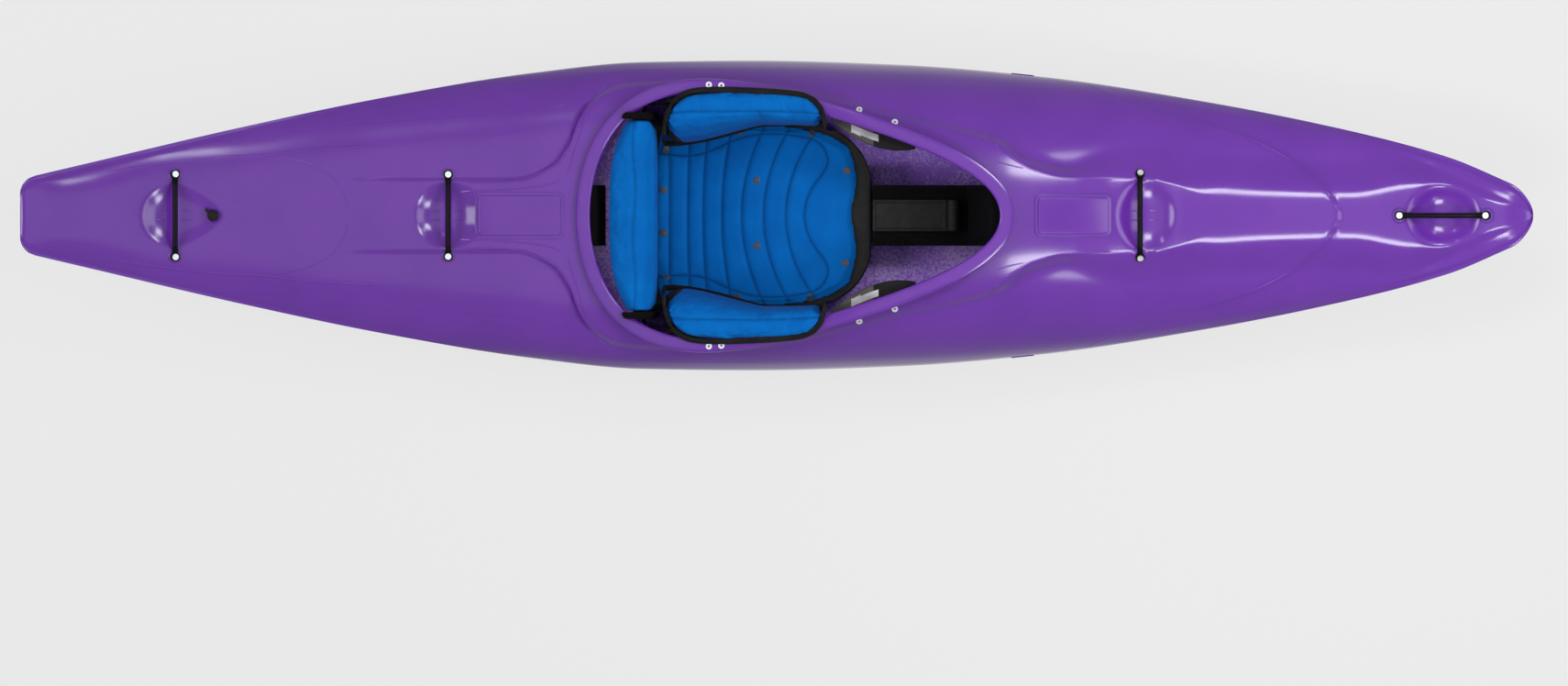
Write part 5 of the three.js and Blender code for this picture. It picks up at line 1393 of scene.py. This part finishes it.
print("stage: backband")
band = {
    "front": -250, "rear": -346, "bottom": 136, "top": 327, "halfWidth": 205, "bendPower": 3, "thin": 0.34,
    "frontShares": [(0.06, 0), (0.0, 0.3), (0.02, 0.6), (0.08, 0.82), (0.2, 0.94), (0.42, 0.99)],
    "rearShares": [(0.62, 0.99), (0.86, 0.93), (1, 0.8), (0.98, 0.6), (0.8, 0.36), (0.5, 0)],
    "voxel": 5, "pressure": 5, "cap": 7, "shrink": 4, "crease": -297,
    "capWide": 14, "capRear": -322, "capFront": -243, "capLean": 0.3, "capMiddle": 228, "capHalf": 88,
    "capCorner": 22, "endSeam": 196, "keep": 0.8,
}


def bandSection(u, shares, shrink):
    bend = abs(u) ** band["bendPower"]
    front = band["front"] - bend * 4 - shrink
    rear = band["rear"] + bend * (band["front"] - band["rear"]) * band["thin"] + shrink
    top = band["top"] - bend * 10 - shrink
    bottom = band["bottom"] + shrink
    return [(front + (rear - front) * depth, u * (band["halfWidth"] - shrink), bottom + (top - bottom) * rise)
            for depth, rise in shares]


def makeBackband():
    shrink = band["shrink"]
    shares = band["frontShares"] + band["rearShares"]
    across = np.sin(np.linspace(-1, 1, 33) * math.pi / 2)
    piece = gridPiece("backbandPad", [bandSection(u, shares, shrink) for u in across])
    puff(piece, band["voxel"], band["pressure"], band["cap"])

    # a lengthwise fold where the top panel is sewn to the front one, with small gathers on both sides
    points = meshPoints(piece)
    x, y, z = points.T
    high = smoothStep(z, 270, 306)
    near = np.abs(x - band["crease"] - 3 * np.sin(y / 31))
    gather = np.sin(y / 6.1 + np.sin(x / 9)) * np.sin(y / 17.3)
    points[:, 2] -= (3.2 * seamDepth(near, 4.5) + 0.8 * gather * np.exp(-near / 16)) * high
    points[:, 2] -= 1.6 * seamDepth(np.abs(band["endSeam"] - np.abs(y)), 3) * high
    setMeshPoints(piece, points)
    # the crease's seam is darkened in the colour: its thread, and painted shade in the groove
    markStitchesAndPaintedShade(piece, 0.6 * seamDepth(near, 2.6) * high)
    finishPiece(piece, "backbandPad", foldedCloth, "backband", "backband_pad", "cloth", 80)
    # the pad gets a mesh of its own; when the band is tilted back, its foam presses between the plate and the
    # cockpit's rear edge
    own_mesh(piece)

    # foam end caps in black tape, one at each end of the pad
    middleX, halfWide = (band["capFront"] + band["capRear"]) / 2, (band["capFront"] - band["capRear"]) / 2
    for sideName, side in sides:
        rings = []
        for t in np.linspace(0, 1, 9):
            swell = math.sqrt(max(0.0, 1 - t ** 2.4)) * 0.86 + 0.14
            outline = roundedRectangle(halfWide * (0.72 + 0.28 * swell), band["capHalf"] * (0.88 + 0.12 * swell),
                                       band["capCorner"])
            # its upper front leans back, clear of the hip pads when the band tilts forward
            lean = [band["capLean"] * max(0, c - 12) if a > 0 else 0 for a, c in outline]
            across = side * (band["halfWidth"] - 4 + band["capWide"] * t)
            rings.append([(middleX + a - back, across, band["capMiddle"] + c) for back, (a, c) in zip(lean, outline)])
        cap = gridPiece("bandCap", rings)
        roundEdges(cap, 2.5)
        finishPiece(cap, "backbandEnd" + sideName.title(), foam, "backband", None, "foam", 60)


makeBackband()

print("stage: thigh braces")
brace = {
    "rear": 112, "front": 290, "bulge": 28, "reach": 24, "thick": 17, "power": 0.8,
    "clothEnd": 0.5, "patch": (0.24, 0.56), "patchIn": (0.16, 0.62),
}


def makeThighPad(sideName, side):
    # a flat pad with round edges that follows the underside of the deck and shows at the opening
    shares = np.unique(np.concatenate([np.linspace(0, 1, 41), [brace["clothEnd"], *brace["patch"]]]))
    around = np.linspace(0, 2 * math.pi, 36, endpoint=False)
    rings = []
    for u in shares:
        x = brace["rear"] + (brace["front"] - brace["rear"]) * u
        edge = float(openingHalfWidth(x))
        swell = math.sin(math.pi * np.clip(u, 0.001, 0.999)) ** brace["power"]
        inner, outer = edge - brace["bulge"] * swell, edge + brace["reach"]
        ends = math.sqrt(max(0.0, 1 - abs(2 * u - 1) ** 6)) * 0.9 + 0.1
        ring = []
        for t in around:
            across = 0.5 - 0.5 * math.copysign(abs(math.cos(t)) ** 0.55, math.cos(t))
            deep = 0.5 - 0.5 * math.copysign(abs(math.sin(t)) ** 0.55, math.sin(t)) * ends
            y = inner + (outer - inner) * across
            under = deckNormal(x, side * y) * (hull["wall"] + 2 + brace["thick"] * deep)
            ring.append(tuple(deckPoint(x, side * y) - under))
        rings.append(ring)
    name = "thighPad" + sideName.title()
    piece = gridPiece(name, rings)
    finishPiece(piece, name, greyCloth, "thigh_" + sideName, "thigh_pad_" + sideName, "brace_cloth", 60)
    piece.data.materials.append(binding)
    piece.data.materials.append(made["paleGreyPatch"])
    for face in piece.data.polygons:
        x, y = face.center.x / mm, face.center.y / mm
        u = (x - brace["rear"]) / (brace["front"] - brace["rear"])
        inwards = (float(openingHalfWidth(x)) - abs(y)) / brace["bulge"]
        if u > brace["clothEnd"]:
            face.material_index = 1
        if brace["patch"][0] < u < brace["patch"][1] and brace["patchIn"][0] < inwards < brace["patchIn"][1]:
            face.material_index = 2


for sideName, side in sides:
    makeThighPad(sideName, side)

print("stage: console, pillars and other mouldings")


def softenedCopy(node, name, material, body, slot, width):
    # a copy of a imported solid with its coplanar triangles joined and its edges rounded
    piece = nodes[node].copy()
    piece.data = nodes[node].data.copy()
    piece.name = name
    for collection in list(piece.users_collection):
        collection.objects.unlink(piece)
    bpy.context.scene.collection.objects.link(piece)

    def clean():
        bpy.ops.mesh.remove_doubles(threshold=1e-5)
        bpy.ops.mesh.dissolve_limited(angle_limit=math.radians(1))
    inEditMode(piece, clean)
    roundEdges(piece, width, 2, angle_limit=math.radians(32), use_clamp_overlap=True)
    finishPiece(piece, name, material, body, node, slot, 35)


softened = [
    ("front_pillar", "frontPillar", foam, "hull", "foam", 3), ("rear_pillar", "rearPillar", foam, "hull", "foam", 3),
    ("foot_plate", "footPlate", nylon, "footbrace", "moulding", 1.5),
    ("foot_pad", "footPad", foam, "footbrace", "foam", 4),
]
for row in softened:
    softenedCopy(*row)

console = {
    "start": 200, "base": 120.3, "width": 66, "thick": 7, "length": 168, "roll": 14, "lip": 5, "sink": 2,
}


def makeConsole():
    # a tray with a raised edge and a sunk grained floor, rolled over at its front end
    start, base, high = console["start"], console["base"], console["base"] + console["thick"]
    end, roll = start + console["length"], console["roll"]
    half, lip, sink = console["width"] / 2, console["lip"], console["sink"]
    profile = [(-half, base), (-half, high), (-half + lip, high), (-half + lip + 2, high - sink),
               (half - lip - 2, high - sink), (half - lip, high), (half, high), (half, base)]
    places = [start, start + 1, start + lip, start + lip + 2, end - roll - lip - 2, end - roll - lip, end - roll]
    rings = []
    for i, x in enumerate(places):
        flat = i < 3 or i > 4
        rings.append([(x, y, high if flat and base < z < high else z) for y, z in profile])
    tray = gridPiece("consoleTray", rings)
    roundEdges(tray, 1.2, angle_limit=0.35)
    across = [(roll - 1.5, -half), (roll, -half + 1.5), (roll, half - 1.5), (roll - 1.5, half)]
    across += [(roll - 6, y) for _, y in reversed(across)]
    rings = [[(end + r * math.cos(t), y, base + roll + r * math.sin(t)) for r, y in across]
             for t in np.linspace(-math.pi / 2, math.pi, 22)]
    rolled = gridPiece("consoleRoll", rings)
    roundEdges(rolled, 0.8, 2, angle_limit=0.6)
    piece = joinAll([tray, rolled], "consoleTray")
    finishPiece(piece, "consoleTray", nylon, "hull", "console", "moulding", 40)


makeConsole()


def makeSeatNose():
    # the rolled front edge of the seat pan, from one side of the nose to the other
    points = []
    for u in np.sin(np.linspace(0.62, 1, 22) * math.pi / 2):
        x = seat["rear"] + (seat["front"] - seat["rear"]) * u
        y = float(seatOutlineAt(x))
        points.append((x, y, float(seatTop(x, y)) - 2))
    side = [(x, -y, z) for x, y, z in reversed(points)]
    front = [(seat["front"], y, float(seatTop(seat["front"], y)) - 2)
             for y in np.linspace(seat["nose"], -seat["nose"], 9)[1:-1]]
    path = points + front + side
    count = len(path)
    piece = tubeAlong("seatNose", path, [(0, 0, 1)] * count, [5.5] * count, [3.2] * count, 14)
    finishPiece(piece, "seatNose", nylon, "hull", None, "moulding", 60)


makeSeatNose()

print("stage: finish")
